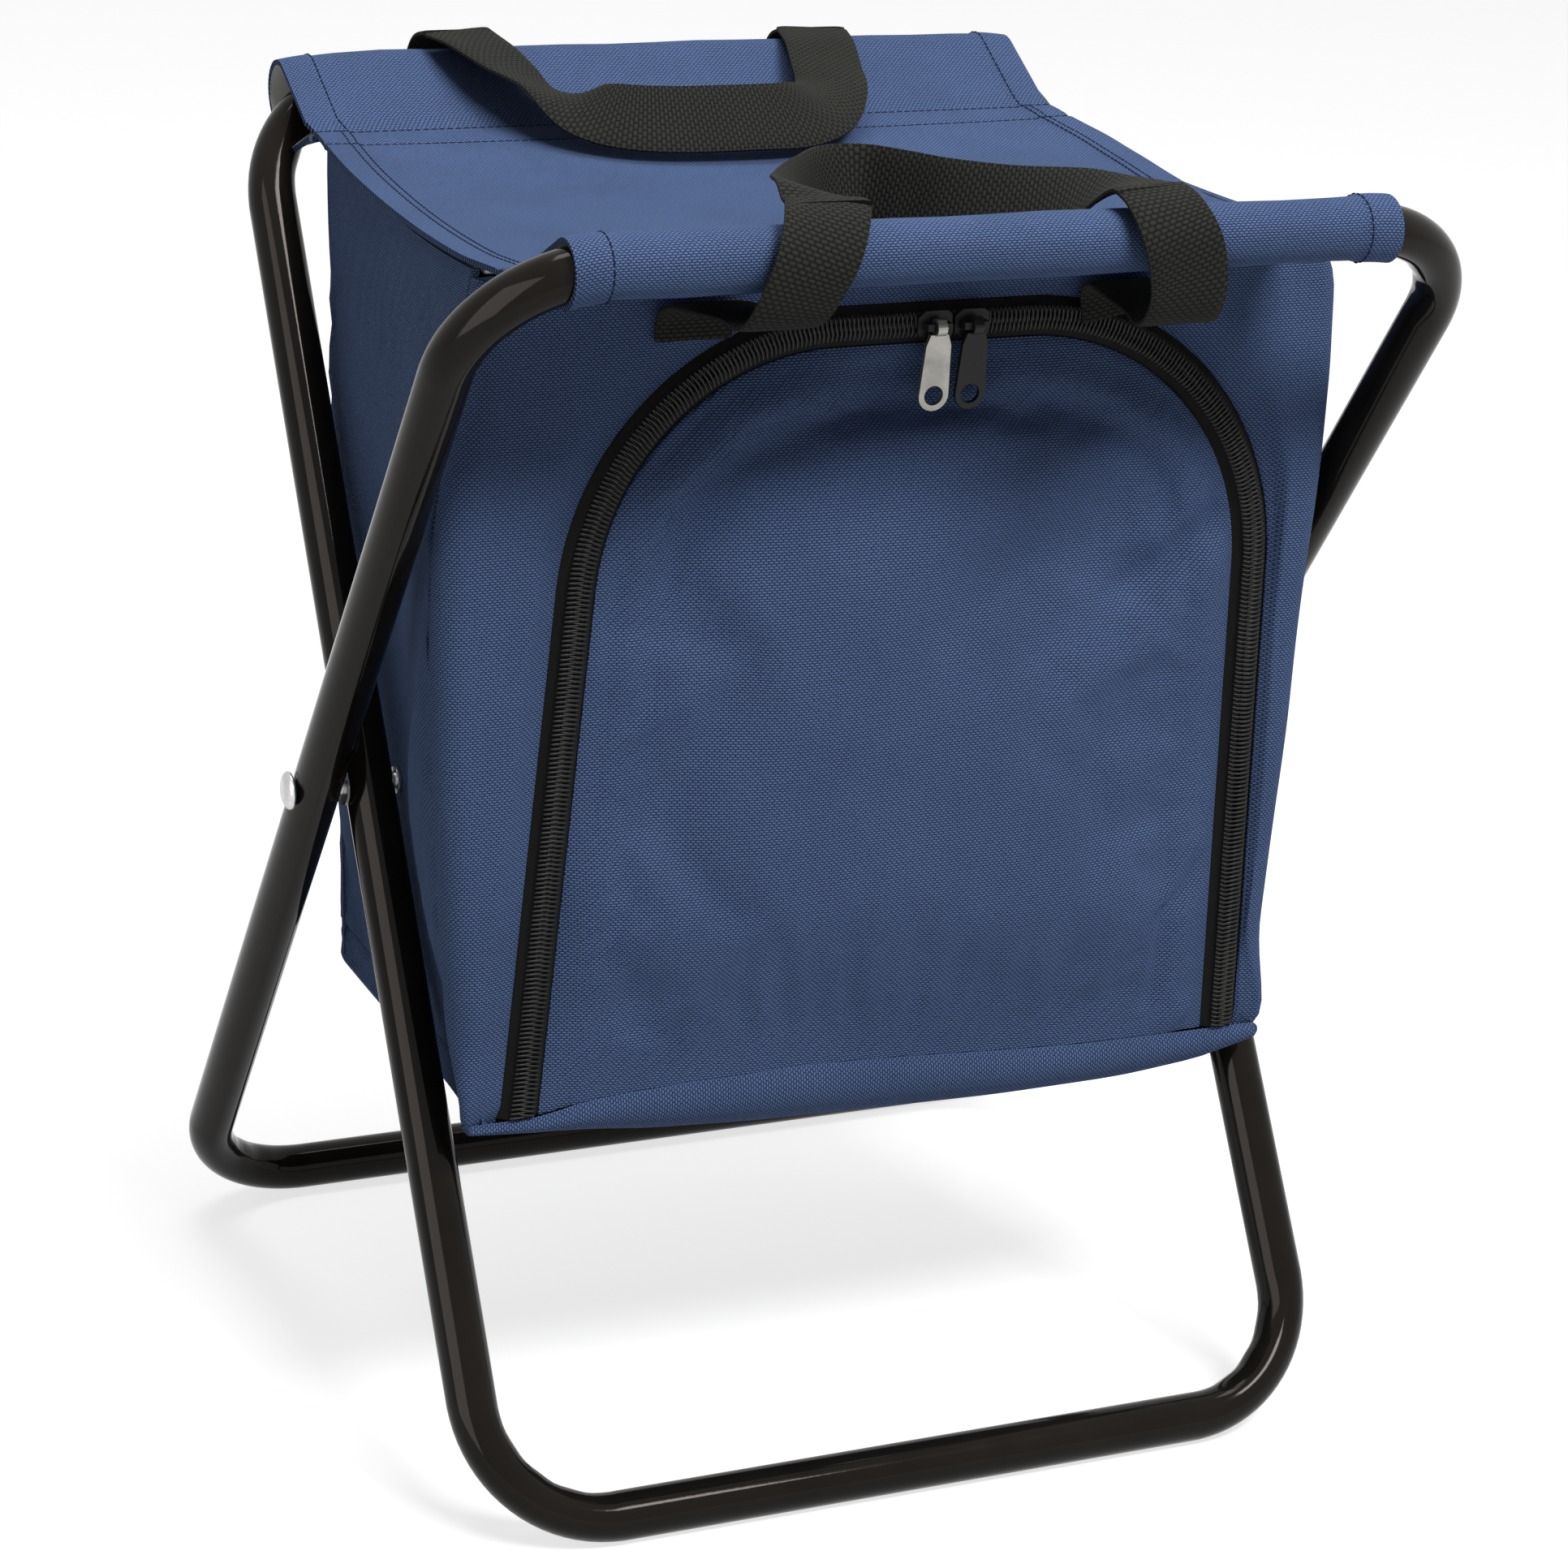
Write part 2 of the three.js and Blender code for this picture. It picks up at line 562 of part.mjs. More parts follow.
// The zip's arched run, moved outwards by an offset, as points from its left foot to its right foot.
function archPoints(offset, foot = 0) {
  const centreZ = ARCH_HEIGHT - ARCH_CORNER_R;
  const leftRun = (z) => ARCH_LEFT_X + z * Math.tan(ARCH_LEAN) - offset / Math.cos(ARCH_LEAN);
  const leftX = ARCH_LEFT_X + centreZ * Math.tan(ARCH_LEAN) + ARCH_CORNER_R / Math.cos(ARCH_LEAN);
  const rightX = ARCH_RIGHT_X - ARCH_CORNER_R;
  const radius = ARCH_CORNER_R + offset;
  const points = [new THREE.Vector2(leftRun(foot), foot)];
  const addCorner = (x, from, to) => {
    for (let i = 0; i <= ARCH_STEPS; i++) {
      const angle = THREE.MathUtils.lerp(from, to, i / ARCH_STEPS);
      points.push(new THREE.Vector2(x + radius * Math.cos(angle), centreZ + radius * Math.sin(angle)));
    }
  };
  addCorner(leftX, Math.PI - ARCH_LEAN, Math.PI / 2);
  addCorner(rightX, Math.PI / 2, 0);
  points.push(new THREE.Vector2(ARCH_RIGHT_X + offset, foot));
  return points;
}

const archBand = (outer, inner, foot) =>
  new THREE.Shape([...archPoints(outer, foot), ...archPoints(inner, foot).reverse()]);

function frontPanel() {
  const steps = 8;
  const edge = (side) => Array.from({ length: steps + 1 }, (_, i) => {
    const height = CLEARANCE + (FRONT_HEIGHT - CLEARANCE) * i / steps;
    return new THREE.Vector2(side * frontHalfWidth(height), height);
  });
  const opening = archPoints(ZIP_SLOT / 2, CLEARANCE);
  return new THREE.Shape([...edge(-1), ...edge(1).reverse(), ...opening.reverse()]);
}

function addFront() {
  const front = new THREE.Group();
  front.position.set(0, FRONT_FOOT_Y, FLAP_SEAM_Z);
  front.rotation.x = -FRONT_LEAN;
  addPart('front_panel', plate(frontPanel(), 0, SHELL_T), navyFabric, front);
  addFlap(front);
  addZip(front);
  SLIDER_X.forEach((x, i) => addSlider(front, ['left', 'right'][i], x));
  stool.add(front);
}

function addFlap(front) {
  const cloth = new THREE.Shape(archPoints(-ZIP_SLOT / 2, CLEARANCE));
  const foam = new THREE.Shape(archPoints(-ZIP_SLOT / 2 - TAPE_SEAM - CLEARANCE, CLEARANCE));
  addPart('flap_shell', plate(cloth, 0, SHELL_T), navyFabric, front);
  addPart('flap_foam', plate(foam, FOAM_FROM, FOAM_FROM + FOAM_T), whiteFoam, front);
  addPart('flap_lining', plate(foam, LINING_FROM, WALL_T), silverLining, front);
}

// Each half of the zip is a tape sewn behind its fabric edge, with a coil along its free edge.
function addZip(front) {
  const tapeFrom = SHELL_T + CLEARANCE;
  const coilTo = tapeFrom - CLEARANCE;
  const meet = RUNNING_FIT / 2;
  for (const [name, side] of [['panel', 1], ['flap', -1]]) {
    const tape = archBand(...[meet, ZIP_SLOT / 2 + TAPE_SEAM].map((o) => o * side), CLEARANCE);
    const coil = archBand(...[meet, COIL_WIDTH / 2].map((o) => o * side), CLEARANCE);
    addPart(`zip_tape_${name}`, plate(tape, tapeFrom, tapeFrom + TAPE_T), blackTape, front);
    addPart(`zip_coil_${name}`, plate(coil, coilTo - COIL_T, coilTo), blackCoil, front);
  }
}

// How far a slider's bridge bar stands in front of the front panel's face.
const COIL_FACE = SHELL_T - COIL_T;
const PLATE_FACE = COIL_FACE - CLEARANCE - SLIDER_T;
const EYE_HOLE_R = Math.hypot(BRIDGE_BAR, BRIDGE_WIDTH) / 2 + CLEARANCE;
const EYE_R = EYE_HOLE_R + PULL_EYE_WALL;
const BAR_Y = PLATE_FACE - EYE_R - CLEARANCE;

// A slider's plate over the coil, and the bridge that holds its pull.
function slider() {
  const [l, w] = [SLIDER_LENGTH / 2, SLIDER_WIDTH / 2];
  const outline = [[-l, 0.55 * w], [-0.55 * l, w], [0.7 * l, w], [l, 0.7 * w]];
  const mirrored = outline.map(([x, z]) => [x, -z]).reverse();
  const shield = new THREE.Shape([...outline, ...mirrored].map(([x, z]) => new THREE.Vector2(x, z)));
  const body = plate(shield, PLATE_FACE, PLATE_FACE + SLIDER_T);
  const post = BRIDGE_BAR;
  const bridge = new THREE.Shape();
  const [half, top] = [BRIDGE_SPAN / 2, BAR_Y - BRIDGE_BAR / 2];
  bridge.moveTo(-half - post, PLATE_FACE + SLIDER_T / 2);
  bridge.lineTo(-half, PLATE_FACE + SLIDER_T / 2);
  bridge.lineTo(-half, BAR_Y + BRIDGE_BAR / 2);
  bridge.lineTo(half, BAR_Y + BRIDGE_BAR / 2);
  bridge.lineTo(half, PLATE_FACE + SLIDER_T / 2);
  bridge.lineTo(half + post, PLATE_FACE + SLIDER_T / 2);
  bridge.lineTo(half + post * 0.6, top);
  bridge.lineTo(-half - post * 0.6, top);
  const arch = new THREE.ExtrudeGeometry(bridge, { depth: BRIDGE_WIDTH, bevelEnabled: false });
  arch.translate(0, 0, -BRIDGE_WIDTH / 2);
  return geometryOf(solidOf(body).add(solidOf(arch)));
}

// A pull tab with an eye around the bridge's bar and a round hole at its tip.
function pull() {
  const tipR = PULL_WIDTH / 2;
  const tipZ = -(PULL_LENGTH - tipR);
  const neck = PULL_WIDTH * 0.3;
  const tab = new THREE.Shape();
  tab.moveTo(-neck, -EYE_HOLE_R - PULL_EYE_WALL / 2);
  tab.lineTo(-PULL_WIDTH * 0.42, -EYE_R - neck);
  tab.lineTo(-tipR, tipZ);
  tab.absarc(0, tipZ, tipR, Math.PI, 2 * Math.PI, false);
  tab.lineTo(PULL_WIDTH * 0.42, -EYE_R - neck);
  tab.lineTo(neck, -EYE_HOLE_R - PULL_EYE_WALL / 2);
  tab.holes.push(new THREE.Path().absarc(0, tipZ, PULL_HOLE_D / 2, 0, 2 * Math.PI, true));
  const eye = new THREE.Shape().absarc(0, 0, EYE_R, 0, 2 * Math.PI, false);
  eye.holes.push(new THREE.Path().absarc(0, 0, EYE_HOLE_R, 0, 2 * Math.PI, true));
  const ring = new THREE.ExtrudeGeometry(eye, { depth: PULL_EYE_WIDTH, bevelEnabled: false, curveSegments: 10 });
  ring.translate(0, 0, -PULL_EYE_WIDTH / 2).rotateY(Math.PI / 2);
  return geometryOf(solidOf(plate(tab, -PULL_T / 2, PULL_T / 2)).add(solidOf(ring)));
}

function addSlider(front, name, x) {
  const carrier = new THREE.Group();
  carrier.position.set(x, 0, ARCH_HEIGHT);
  const hinge = new THREE.Group();
  hinge.position.y = BAR_Y;
  hinge.rotation.x = Math.asin((-BAR_Y - PULL_T / 2 - CLEARANCE) / PULL_LENGTH);
  addPart(`${name}_zip_slider`, slider(), gunmetal, carrier);
  addPart(`${name}_zip_pull`, pull(), gunmetal, hinge);
  carrier.add(hinge);
  front.add(carrier);
}

// Webbing handles

// A strap end: sewn to the bag under the seat, under its rail, up its far side and over it.
function strapEnd(x, loop, front) {
  const wall = front < 0 ? -FRONT_TOP_Y : BACK_TOP_Y;
  const { x: signedY, y: railZ } = railCentre(loop);
  const railY = Math.abs(signedY);
  const sewnZ = seatUnderside(wall) - 3 * WEBBING_T;
  const lean = front < 0 ? Math.tan(FRONT_LEAN) : Math.tan(BACK_LEAN);
  const sewnY = wall + (front < 0 ? 1 : -1) * (seatZ(wall) - sewnZ) * lean + CLEARANCE;
  const middle = [new THREE.Vector2(sewnY, sewnZ), new THREE.Vector2((sewnY + railY) / 2, sewnZ - WEBBING_T)];
  const wrapSteps = 8;
  for (let i = 0; i <= wrapSteps; i++) {
    const angle = THREE.MathUtils.lerp(-0.55, 0.45, i / wrapSteps) * Math.PI;
    const reach = WRAP_RADIUS + (i < 2 ? WEBBING_T : 0);
    middle.push(new THREE.Vector2(railY + reach * Math.cos(angle), railZ + reach * Math.sin(angle)));
  }
  middle.push(new THREE.Vector2(railY - CLEARANCE, railZ + WRAP_RADIUS));
  const stations = middle.map((point, i) => {
    const before = middle[Math.max(0, i - 1)];
    const after = middle[Math.min(middle.length - 1, i + 1)];
    return {
      middle: new THREE.Vector3(x, front * point.x, point.y),
      across: new THREE.Vector3(1, 0, 0),
      along: new THREE.Vector3(0, front * (after.x - before.x), after.y - before.y),
    };
  });
  return ribbon(stations);
}

// A loop from strap to strap that turns on edge and lies back on the seat.
function handleLoop([leftX, rightX], loop, front, skew) {
  const steps = 14;
  const { x: signedY, y: railZ } = railCentre(loop);
  const startY = Math.abs(signedY) - 2 * CLEARANCE;
  const at = (t) => {
    const turn = Math.PI * t;
    const bow = Math.sin(turn);
    const x = THREE.MathUtils.lerp(leftX, rightX, (1 - Math.cos(turn)) / 2) + skew * bow ** 2;
    const y = startY - LOOP_REACH * bow ** 0.9;
    const onEdge = THREE.MathUtils.smoothstep(bow, 0, 0.7);
    const stand = WEBBING_WIDTH / 2 * Math.cos(LOOP_LEAN) + WEBBING_T;
    const z = THREE.MathUtils.lerp(railZ + WRAP_RADIUS, seatZ(y) + stand, onEdge);
    return { point: new THREE.Vector3(x, front * y, z), onEdge };
  };
  const stations = [];
  for (let i = 0; i <= steps; i++) {
    const t = i / steps;
    const here = at(t);
    const along = at(Math.min(1, t + 0.01)).point.sub(at(Math.max(0, t - 0.01)).point).normalize();
    const flat = new THREE.Vector3(t < 0.5 ? -1 : 1, 0, 0);
    const upright = new THREE.Vector3(0, -front * Math.sin(LOOP_LEAN), Math.cos(LOOP_LEAN));
    const across = flat.lerp(upright, here.onEdge);
    if (i > 0 && i < steps) across.addScaledVector(along, -across.dot(along));
    stations.push({ middle: here.point, across: across.normalize(), along });
  }
  stations[0].along.set(0, -front, 0);
  stations[steps].along.set(0, front, 0);
  return ribbon(stations);
}

function addHandles() {
  for (const [name, loop, front] of [['front', OUTER_LOOP, -1], ['rear', INNER_LOOP, 1]]) {
    const straps = STRAP_X[name];
    addPart(`${name}_handle_left_strap`, strapEnd(straps[0], loop, front), blackWebbing);
    addPart(`${name}_handle_right_strap`, strapEnd(straps[1], loop, front), blackWebbing);
    addPart(`${name}_handle_loop`, handleLoop(straps, loop, front, LOOP_SKEW[name]), blackWebbing);
  }
}

addLoop('outer_tube_loop', OUTER_LOOP);
addLoop('inner_tube_loop', INNER_LOOP);
addPivots();
addSeat();
addPart('front_sleeve', sleeve(OUTER_LOOP, SLEEVE_OVERHANG.front), navyFabric);
addPart('rear_sleeve', sleeve(INNER_LOOP, SLEEVE_OVERHANG.rear), navyFabric);
addSides();
addBottomAndTop();
addBack();
addFront();
addHandles();

export default stool;
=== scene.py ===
# %% [markdown]
# Folding cooler stool. Two loops of black tube cross in an X, a cloth seat is slung between their top rails,
# and a padded cool bag with a zipped front flap hangs under the seat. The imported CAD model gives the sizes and
# the bodies that move, and this lesson dresses it piece by piece.
# Shapes are worked out in millimetres, in the CAD model's own frame, and scaled once when a mesh is made.

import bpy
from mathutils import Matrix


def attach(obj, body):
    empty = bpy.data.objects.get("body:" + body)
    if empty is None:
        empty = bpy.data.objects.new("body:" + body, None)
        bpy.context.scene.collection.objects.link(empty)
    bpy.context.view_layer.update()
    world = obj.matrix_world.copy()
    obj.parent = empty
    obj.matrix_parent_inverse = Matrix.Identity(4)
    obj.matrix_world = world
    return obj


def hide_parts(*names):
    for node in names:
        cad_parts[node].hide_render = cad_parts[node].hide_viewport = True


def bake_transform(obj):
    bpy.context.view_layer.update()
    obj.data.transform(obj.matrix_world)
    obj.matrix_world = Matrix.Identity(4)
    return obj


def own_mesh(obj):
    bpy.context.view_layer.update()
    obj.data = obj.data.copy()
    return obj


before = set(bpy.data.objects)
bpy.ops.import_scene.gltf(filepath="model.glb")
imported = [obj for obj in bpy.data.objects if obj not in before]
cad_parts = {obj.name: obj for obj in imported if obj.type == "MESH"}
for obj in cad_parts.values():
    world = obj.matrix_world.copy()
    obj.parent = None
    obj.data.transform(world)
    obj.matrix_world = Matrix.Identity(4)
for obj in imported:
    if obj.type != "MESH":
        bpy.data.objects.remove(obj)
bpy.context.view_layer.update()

import math

import bpy
import numpy as np
from mathutils import Matrix, Vector

MM = 0.001
scene = bpy.context.scene
scene.view_settings.view_transform = "Standard"

# %% [markdown]
# The camera. The stool is seen from its front left, from a little above, with a long lens. A camera can be
# aimed with a constraint, but writing its three axes down gives the same view each time: back points from the
# stool to the lens, right is level, up follows, and a small roll turns right and up.

# %% Camera
CAMERA_PLACE = Vector((-566.3, -1234.3, 705.1)) * MM
CAMERA_AZIMUTH = math.radians(-24.713)
CAMERA_ELEVATION = math.radians(20.591)
CAMERA_ROLL = math.radians(3.263)

camera_data = bpy.data.cameras.new("photo_camera")
camera_data.lens = 99.15
camera_data.sensor_width = 36
camera = bpy.data.objects.new("photo_camera", camera_data)
scene.collection.objects.link(camera)
scene.camera = camera

back = Vector((
    math.sin(CAMERA_AZIMUTH) * math.cos(CAMERA_ELEVATION),
    -math.cos(CAMERA_AZIMUTH) * math.cos(CAMERA_ELEVATION),
    math.sin(CAMERA_ELEVATION),
))
right = (-back).cross(Vector((0, 0, 1))).normalized()
up = right.cross(-back)
camera_right = right * math.cos(CAMERA_ROLL) + up * math.sin(CAMERA_ROLL)
camera_up = up * math.cos(CAMERA_ROLL) - right * math.sin(CAMERA_ROLL)
camera_turn = Matrix((camera_right, camera_up, back)).transposed().to_4x4()
camera.matrix_world = Matrix.Translation(CAMERA_PLACE) @ camera_turn
print("camera at", CAMERA_PLACE)

# %% [markdown]
# Nodes. Every finish below is built from nodes, and a few short helpers keep that readable: one fills a node's
# sockets with values or links, one adds a node, one does sums, and one blends two colours.

# %% Node helpers
def fill(tree, node, sockets):
    for socket, value in sockets.items():
        if isinstance(value, bpy.types.NodeSocket):
            tree.links.new(value, node.inputs[socket])
        else:
            node.inputs[socket].default_value = value


def add_node(tree, kind, sockets=None, **settings):
    made = tree.nodes.new(kind)
    for name, value in settings.items():
        setattr(made, name, value)
    fill(tree, made, sockets or {})
    return made


def sum_of(tree, operation, a, b=0.0):
    return add_node(tree, "ShaderNodeMath", {0: a, 1: b}, operation=operation).outputs[0]


def blend_colours(tree, share, low, high):
    mixer = add_node(tree, "ShaderNodeMix", {0: share, 6: low, 7: high}, data_type="RGBA")
    return mixer.outputs[2]


# %% [markdown]
# The studio. A pale floor carries the shadow, and everything beyond it is plain white. The world is white
# only to the camera and to mirror-like rays, so tube and metal show the white room while the soft light on the
# cloth stays at a plain level. One lamp shows only in gloss and draws the long soft streaks on the tube.

# %% World and floor
WHITE = (1, 1, 1, 1)


def any_ray(tree, *kinds):
    """1 for rays of these kinds, 0 for all others."""
    rays = add_node(tree, "ShaderNodeLightPath").outputs
    seen = rays[kinds[0]]
    for kind in kinds[1:]:
        seen = sum_of(tree, "MAXIMUM", seen, rays[kind])
    return seen


def make_world(daylight):
    world = bpy.data.worlds.new("white_room")
    scene.world = world
    world.use_nodes = True
    tree = world.node_tree
    seen = any_ray(tree, "Is Camera Ray", "Is Glossy Ray", "Is Transmission Ray")
    strength = add_node(tree, "ShaderNodeMapRange", {"Value": seen, "To Min": daylight, "To Max": 1.0})
    fill(tree, tree.nodes["Background"], {"Color": WHITE, "Strength": strength.outputs[0]})


def make_floor(reach, lift):
    mesh = bpy.data.meshes.new("studio_floor")
    corners = [(-reach, -reach, 0), (reach, -reach, 0), (reach, reach, 0), (-reach, reach, 0)]
    mesh.from_pydata(corners, [], [(0, 1, 2, 3)])
    floor = bpy.data.objects.new("studio_floor", mesh)
    scene.collection.objects.link(floor)
    paper = bpy.data.materials.new("floor_paper")
    paper.use_nodes = True
    tree = paper.node_tree
    seen = any_ray(tree, "Is Camera Ray", "Is Glossy Ray")
    fill(tree, tree.nodes["Principled BSDF"], {
        "Roughness": 0.9, "Base Color": (0.5, 0.5, 0.5, 1), "Emission Color": WHITE,
        "Emission Strength": sum_of(tree, "MULTIPLY", seen, lift),
    })
    mesh.materials.append(paper)


make_world(daylight=0.19)
make_floor(reach=6.0, lift=0.72)
print("world", scene.world.name)

# %% Lamps
def add_lamp(name, place, aim, size, power):
    data = bpy.data.lights.new(name, "AREA")
    data.shape = "RECTANGLE"
    data.size, data.size_y = size
    data.energy = power
    lamp = bpy.data.objects.new(name, data)
    scene.collection.objects.link(lamp)
    lamp.location = place
    lamp.rotation_euler = (Vector(aim) - Vector(place)).to_track_quat("-Z", "Y").to_euler()
    return lamp


add_lamp("key_lamp", (0.4, -1.4, 2.1), (0, 0, 0.25), (1.0, 0.5), 45)
add_lamp("top_lamp", (0.1, 0.2, 2.1), (0, 0, 0.3), (1.4, 0.6), 18)
streak = add_lamp("streak_lamp", (-1.5, -0.7, 0.8), (0, 0, 0.25), (1.2, 1.6), 22)
streak.visible_diffuse = False  # only for the streaks on the tube

# %% [markdown]
# Weave. All the cloth on the stool is woven: the navy cover, the zip tape and the webbing. A photograph of the
# cloth would do it, but two numbers describe it better: how long a thread shows before it dives under, and how
# far apart the rows are. Every second row is shifted by half a float. The group reads the cloth's own
# coordinates in metres, so the weave runs along the panel however it is bent.

# %% Weave group
def new_group(name, inputs, outputs):
    """A node group whose sockets are numbers, apart from a first one for the place."""
    group = bpy.data.node_groups.new(name, "ShaderNodeTree")
    group.interface.new_socket(name="Place", in_out="INPUT", socket_type="NodeSocketVector")
    for way, sockets in (("INPUT", inputs), ("OUTPUT", outputs)):
        for socket in sockets:
            group.interface.new_socket(name=socket, in_out=way, socket_type="NodeSocketFloat")
    source = group.nodes.new("NodeGroupInput").outputs
    result = group.nodes.new("NodeGroupOutput").inputs
    return group, source, result


def make_weave():
    inputs, outputs = ["Float Length", "Row Height", "Unevenness"], ["Height", "Shade"]
    group, source, result = new_group("weave", inputs, outputs)
    place = add_node(group, "ShaderNodeSeparateXYZ", {0: source["Place"]}).outputs
    row = sum_of(group, "DIVIDE", place[1], source["Row Height"])
    row_number = sum_of(group, "FLOOR", row)
    shift = sum_of(group, "MULTIPLY", sum_of(group, "FLOORED_MODULO", row_number, 2.0), 0.5)
    column = sum_of(group, "ADD", sum_of(group, "DIVIDE", place[0], source["Float Length"]), shift)
    humps = []
    for share in (row, column):
        turn = sum_of(group, "MULTIPLY", sum_of(group, "FRACT", share), math.pi)
        humps.append(sum_of(group, "SINE", turn))
    hump = sum_of(group, "POWER", sum_of(group, "MULTIPLY", *humps), 0.6)
    fuzz = add_node(group, "ShaderNodeTexNoise", {"Vector": source["Place"], "Scale": 900.0, "Detail": 2.0})
    uneven = sum_of(group, "MULTIPLY", sum_of(group, "SUBTRACT", fuzz.outputs[0], 0.5), source["Unevenness"])
    height = sum_of(group, "ADD", hump, uneven)
    group.links.new(height, result["Height"])
    group.links.new(add_node(group, "ShaderNodeClamp", {0: height}).outputs[0], result["Shade"])
    return group


WEAVE = make_weave()
print("weave group", [s.name for s in WEAVE.interface.items_tree])

# %% [markdown]
# Patches. No real surface is one colour: cloth fades where it is handled, paint picks up dust and metal dulls.
# One group of soft noise serves them all. Its mask is stretched to run from 0 to 1, and each finish decides
# what the mask changes.

# %% Patches group
def make_patches():
    group, source, result = new_group("patches", ["Size", "Contrast"], ["Mask"])
    scale = sum_of(group, "DIVIDE", 1.0, source["Size"])
    noise = add_node(
        group,
        "ShaderNodeTexNoise",
        {"Vector": source["Place"], "Scale": scale, "Detail": 4.0, "Roughness": 0.6},
    ).outputs[0]
    wide = sum_of(group, "MULTIPLY", sum_of(group, "SUBTRACT", noise, 0.5), source["Contrast"])
    mask = add_node(group, "ShaderNodeClamp", {0: sum_of(group, "ADD", wide, 0.5)})
    group.links.new(mask.outputs[0], result["Mask"])
    return group


PATCHES = make_patches()
PATCH_CONTRAST = 2.5


def new_finish(name, **constants):
    finish = bpy.data.materials.new(name)
    finish.use_nodes = True
    shader = finish.node_tree.nodes["Principled BSDF"]
    for socket, value in constants.items():
        shader.inputs[socket.replace("_", " ")].default_value = value
    return finish, finish.node_tree, shader


def mask_of(tree, place, size):
    sockets = {"Place": place, "Size": size, "Contrast": PATCH_CONTRAST}
    return add_node(tree, "ShaderNodeGroup", sockets, node_tree=PATCHES).outputs["Mask"]


def tint(colour, gain=1):
    return (*(min(1, gain * part) for part in colour), 1)


# %% [markdown]
# Woven finishes. The cover is a plain-woven polyester with a dull sheen, the webbing a much coarser weave, the
# zip tape a finer one. Each takes the weave group with its own thread sizes: hollows between threads are darker,
# and the same height bends the light through a bump node.

# %% Woven finishes
FADED, FADED_PATCH = 1.22, 0.05  # gain of the thread's colour where it has faded, and size of such a patch
UNEVENNESS, THREAD_RELIEF = 0.35, 0.3 * MM


def woven(name, hollow, thread, float_length, row_height, bump, roughness, sheen):
    finish, tree, shader = new_finish(
        name, Roughness=roughness, Sheen_Weight=sheen, Sheen_Roughness=0.45, Specular_IOR_Level=0.06,
        Sheen_Tint=tint(thread, 4),
    )
    place = add_node(tree, "ShaderNodeUVMap", uv_map="cloth").outputs[0]
    sizes = {"Float Length": float_length * MM, "Row Height": row_height * MM, "Unevenness": UNEVENNESS}
    weave = add_node(tree, "ShaderNodeGroup", {"Place": place, **sizes}, node_tree=WEAVE).outputs
    faded = mask_of(tree, place, FADED_PATCH)
    worn_thread = blend_colours(tree, faded, tint(thread), tint(thread, FADED))
    colour = blend_colours(tree, weave["Shade"], tint(hollow), worn_thread)
    bumps = {"Strength": bump, "Distance": THREAD_RELIEF, "Height": weave["Height"]}
    relief = add_node(tree, "ShaderNodeBump", bumps)
    fill(tree, shader, {"Base Color": colour, "Normal": relief.outputs[0]})
    return finish


# Colours of hollow and thread, length of a float and height of a row in millimetres, bump, roughness, sheen.
NAVY_CLOTH = woven("navy_cloth", (0.004, 0.009, 0.026), (0.105, 0.160, 0.322), 1.6, 0.8, 1.0, 0.85, 0.06)
WEBBING = woven("webbing_cloth", (0.004, 0.004, 0.004), (0.030, 0.030, 0.026), 2.6, 1.4, 0.9, 0.75, 0.02)
ZIP_TAPE = woven("zip_tape_cloth", (0.007, 0.007, 0.007), (0.020, 0.020, 0.019), 1.2, 0.5, 0.4, 0.8, 0.05)
THREAD = woven("navy_thread", (0.006, 0.010, 0.026), (0.018, 0.028, 0.064), 0.8, 0.3, 0.4, 0.75, 0.02)
print("woven", [finish.name for finish in (NAVY_CLOTH, WEBBING, ZIP_TAPE, THREAD)])


# %% [markdown]
# Smooth finishes. Tube paint is glossy black with the faint orange peel of sprayed enamel, rivets are zinc,
# the lining is a crinkled silver film, and the zip's coil is a dull nylon wire. All are a Principled shader
# whose roughness is moved by the patches group and whose bump comes from fine noise.

# %% Smooth finishes
GRAIN_RELIEF = 0.2 * MM


def smooth_finish(name, clean, dull, rough, patch, grain, grain_bump, **constants):
    finish, tree, shader = new_finish(name, **constants)
    place = add_node(tree, "ShaderNodeTexCoord").outputs["Object"]
    mask = mask_of(tree, place, patch)
    colour = blend_colours(tree, mask, tint(clean), tint(dull))
    spread = add_node(tree, "ShaderNodeMapRange", {"Value": mask, "To Min": rough[0], "To Max": rough[1]})
    peel = add_node(tree, "ShaderNodeTexNoise", {"Vector": place, "Scale": 1 / grain, "Detail": 3.0})
    bumps = {"Strength": grain_bump, "Distance": GRAIN_RELIEF, "Height": peel.outputs[0]}
    relief = add_node(tree, "ShaderNodeBump", bumps)
    fill(tree, shader, {
        "Base Color": colour, "Roughness": spread.outputs[0], "Normal": relief.outputs[0],
    })
    return finish


# Colours where clean and where dull, roughness there, sizes of patch and grain in metres, bump of the grain.
BLACK_PAINT = smooth_finish(
    "black_tube_paint", (0.006, 0.005, 0.004), (0.012, 0.010, 0.008), (0.06, 0.11), 0.05, 0.0022, 0.05,
    Specular_IOR_Level=0.12, Specular_Tint=(1.0, 0.91, 0.86, 1),
)
ZINC = smooth_finish(
    "zinc_plate", (0.62, 0.63, 0.64), (0.45, 0.45, 0.44), (0.22, 0.42), 0.006, 0.0006, 0.08, Metallic=1.0
)
GUNMETAL = smooth_finish(
    "gunmetal_cast", (0.34, 0.33, 0.30), (0.24, 0.235, 0.22), (0.3, 0.45), 0.006, 0.0005, 0.1, Metallic=0.9
)
BLACKENED = smooth_finish(
    "blackened_metal", (0.012, 0.012, 0.012), (0.022, 0.021, 0.02), (0.3, 0.45), 0.006, 0.0005, 0.1,
    Specular_IOR_Level=0.2,
)
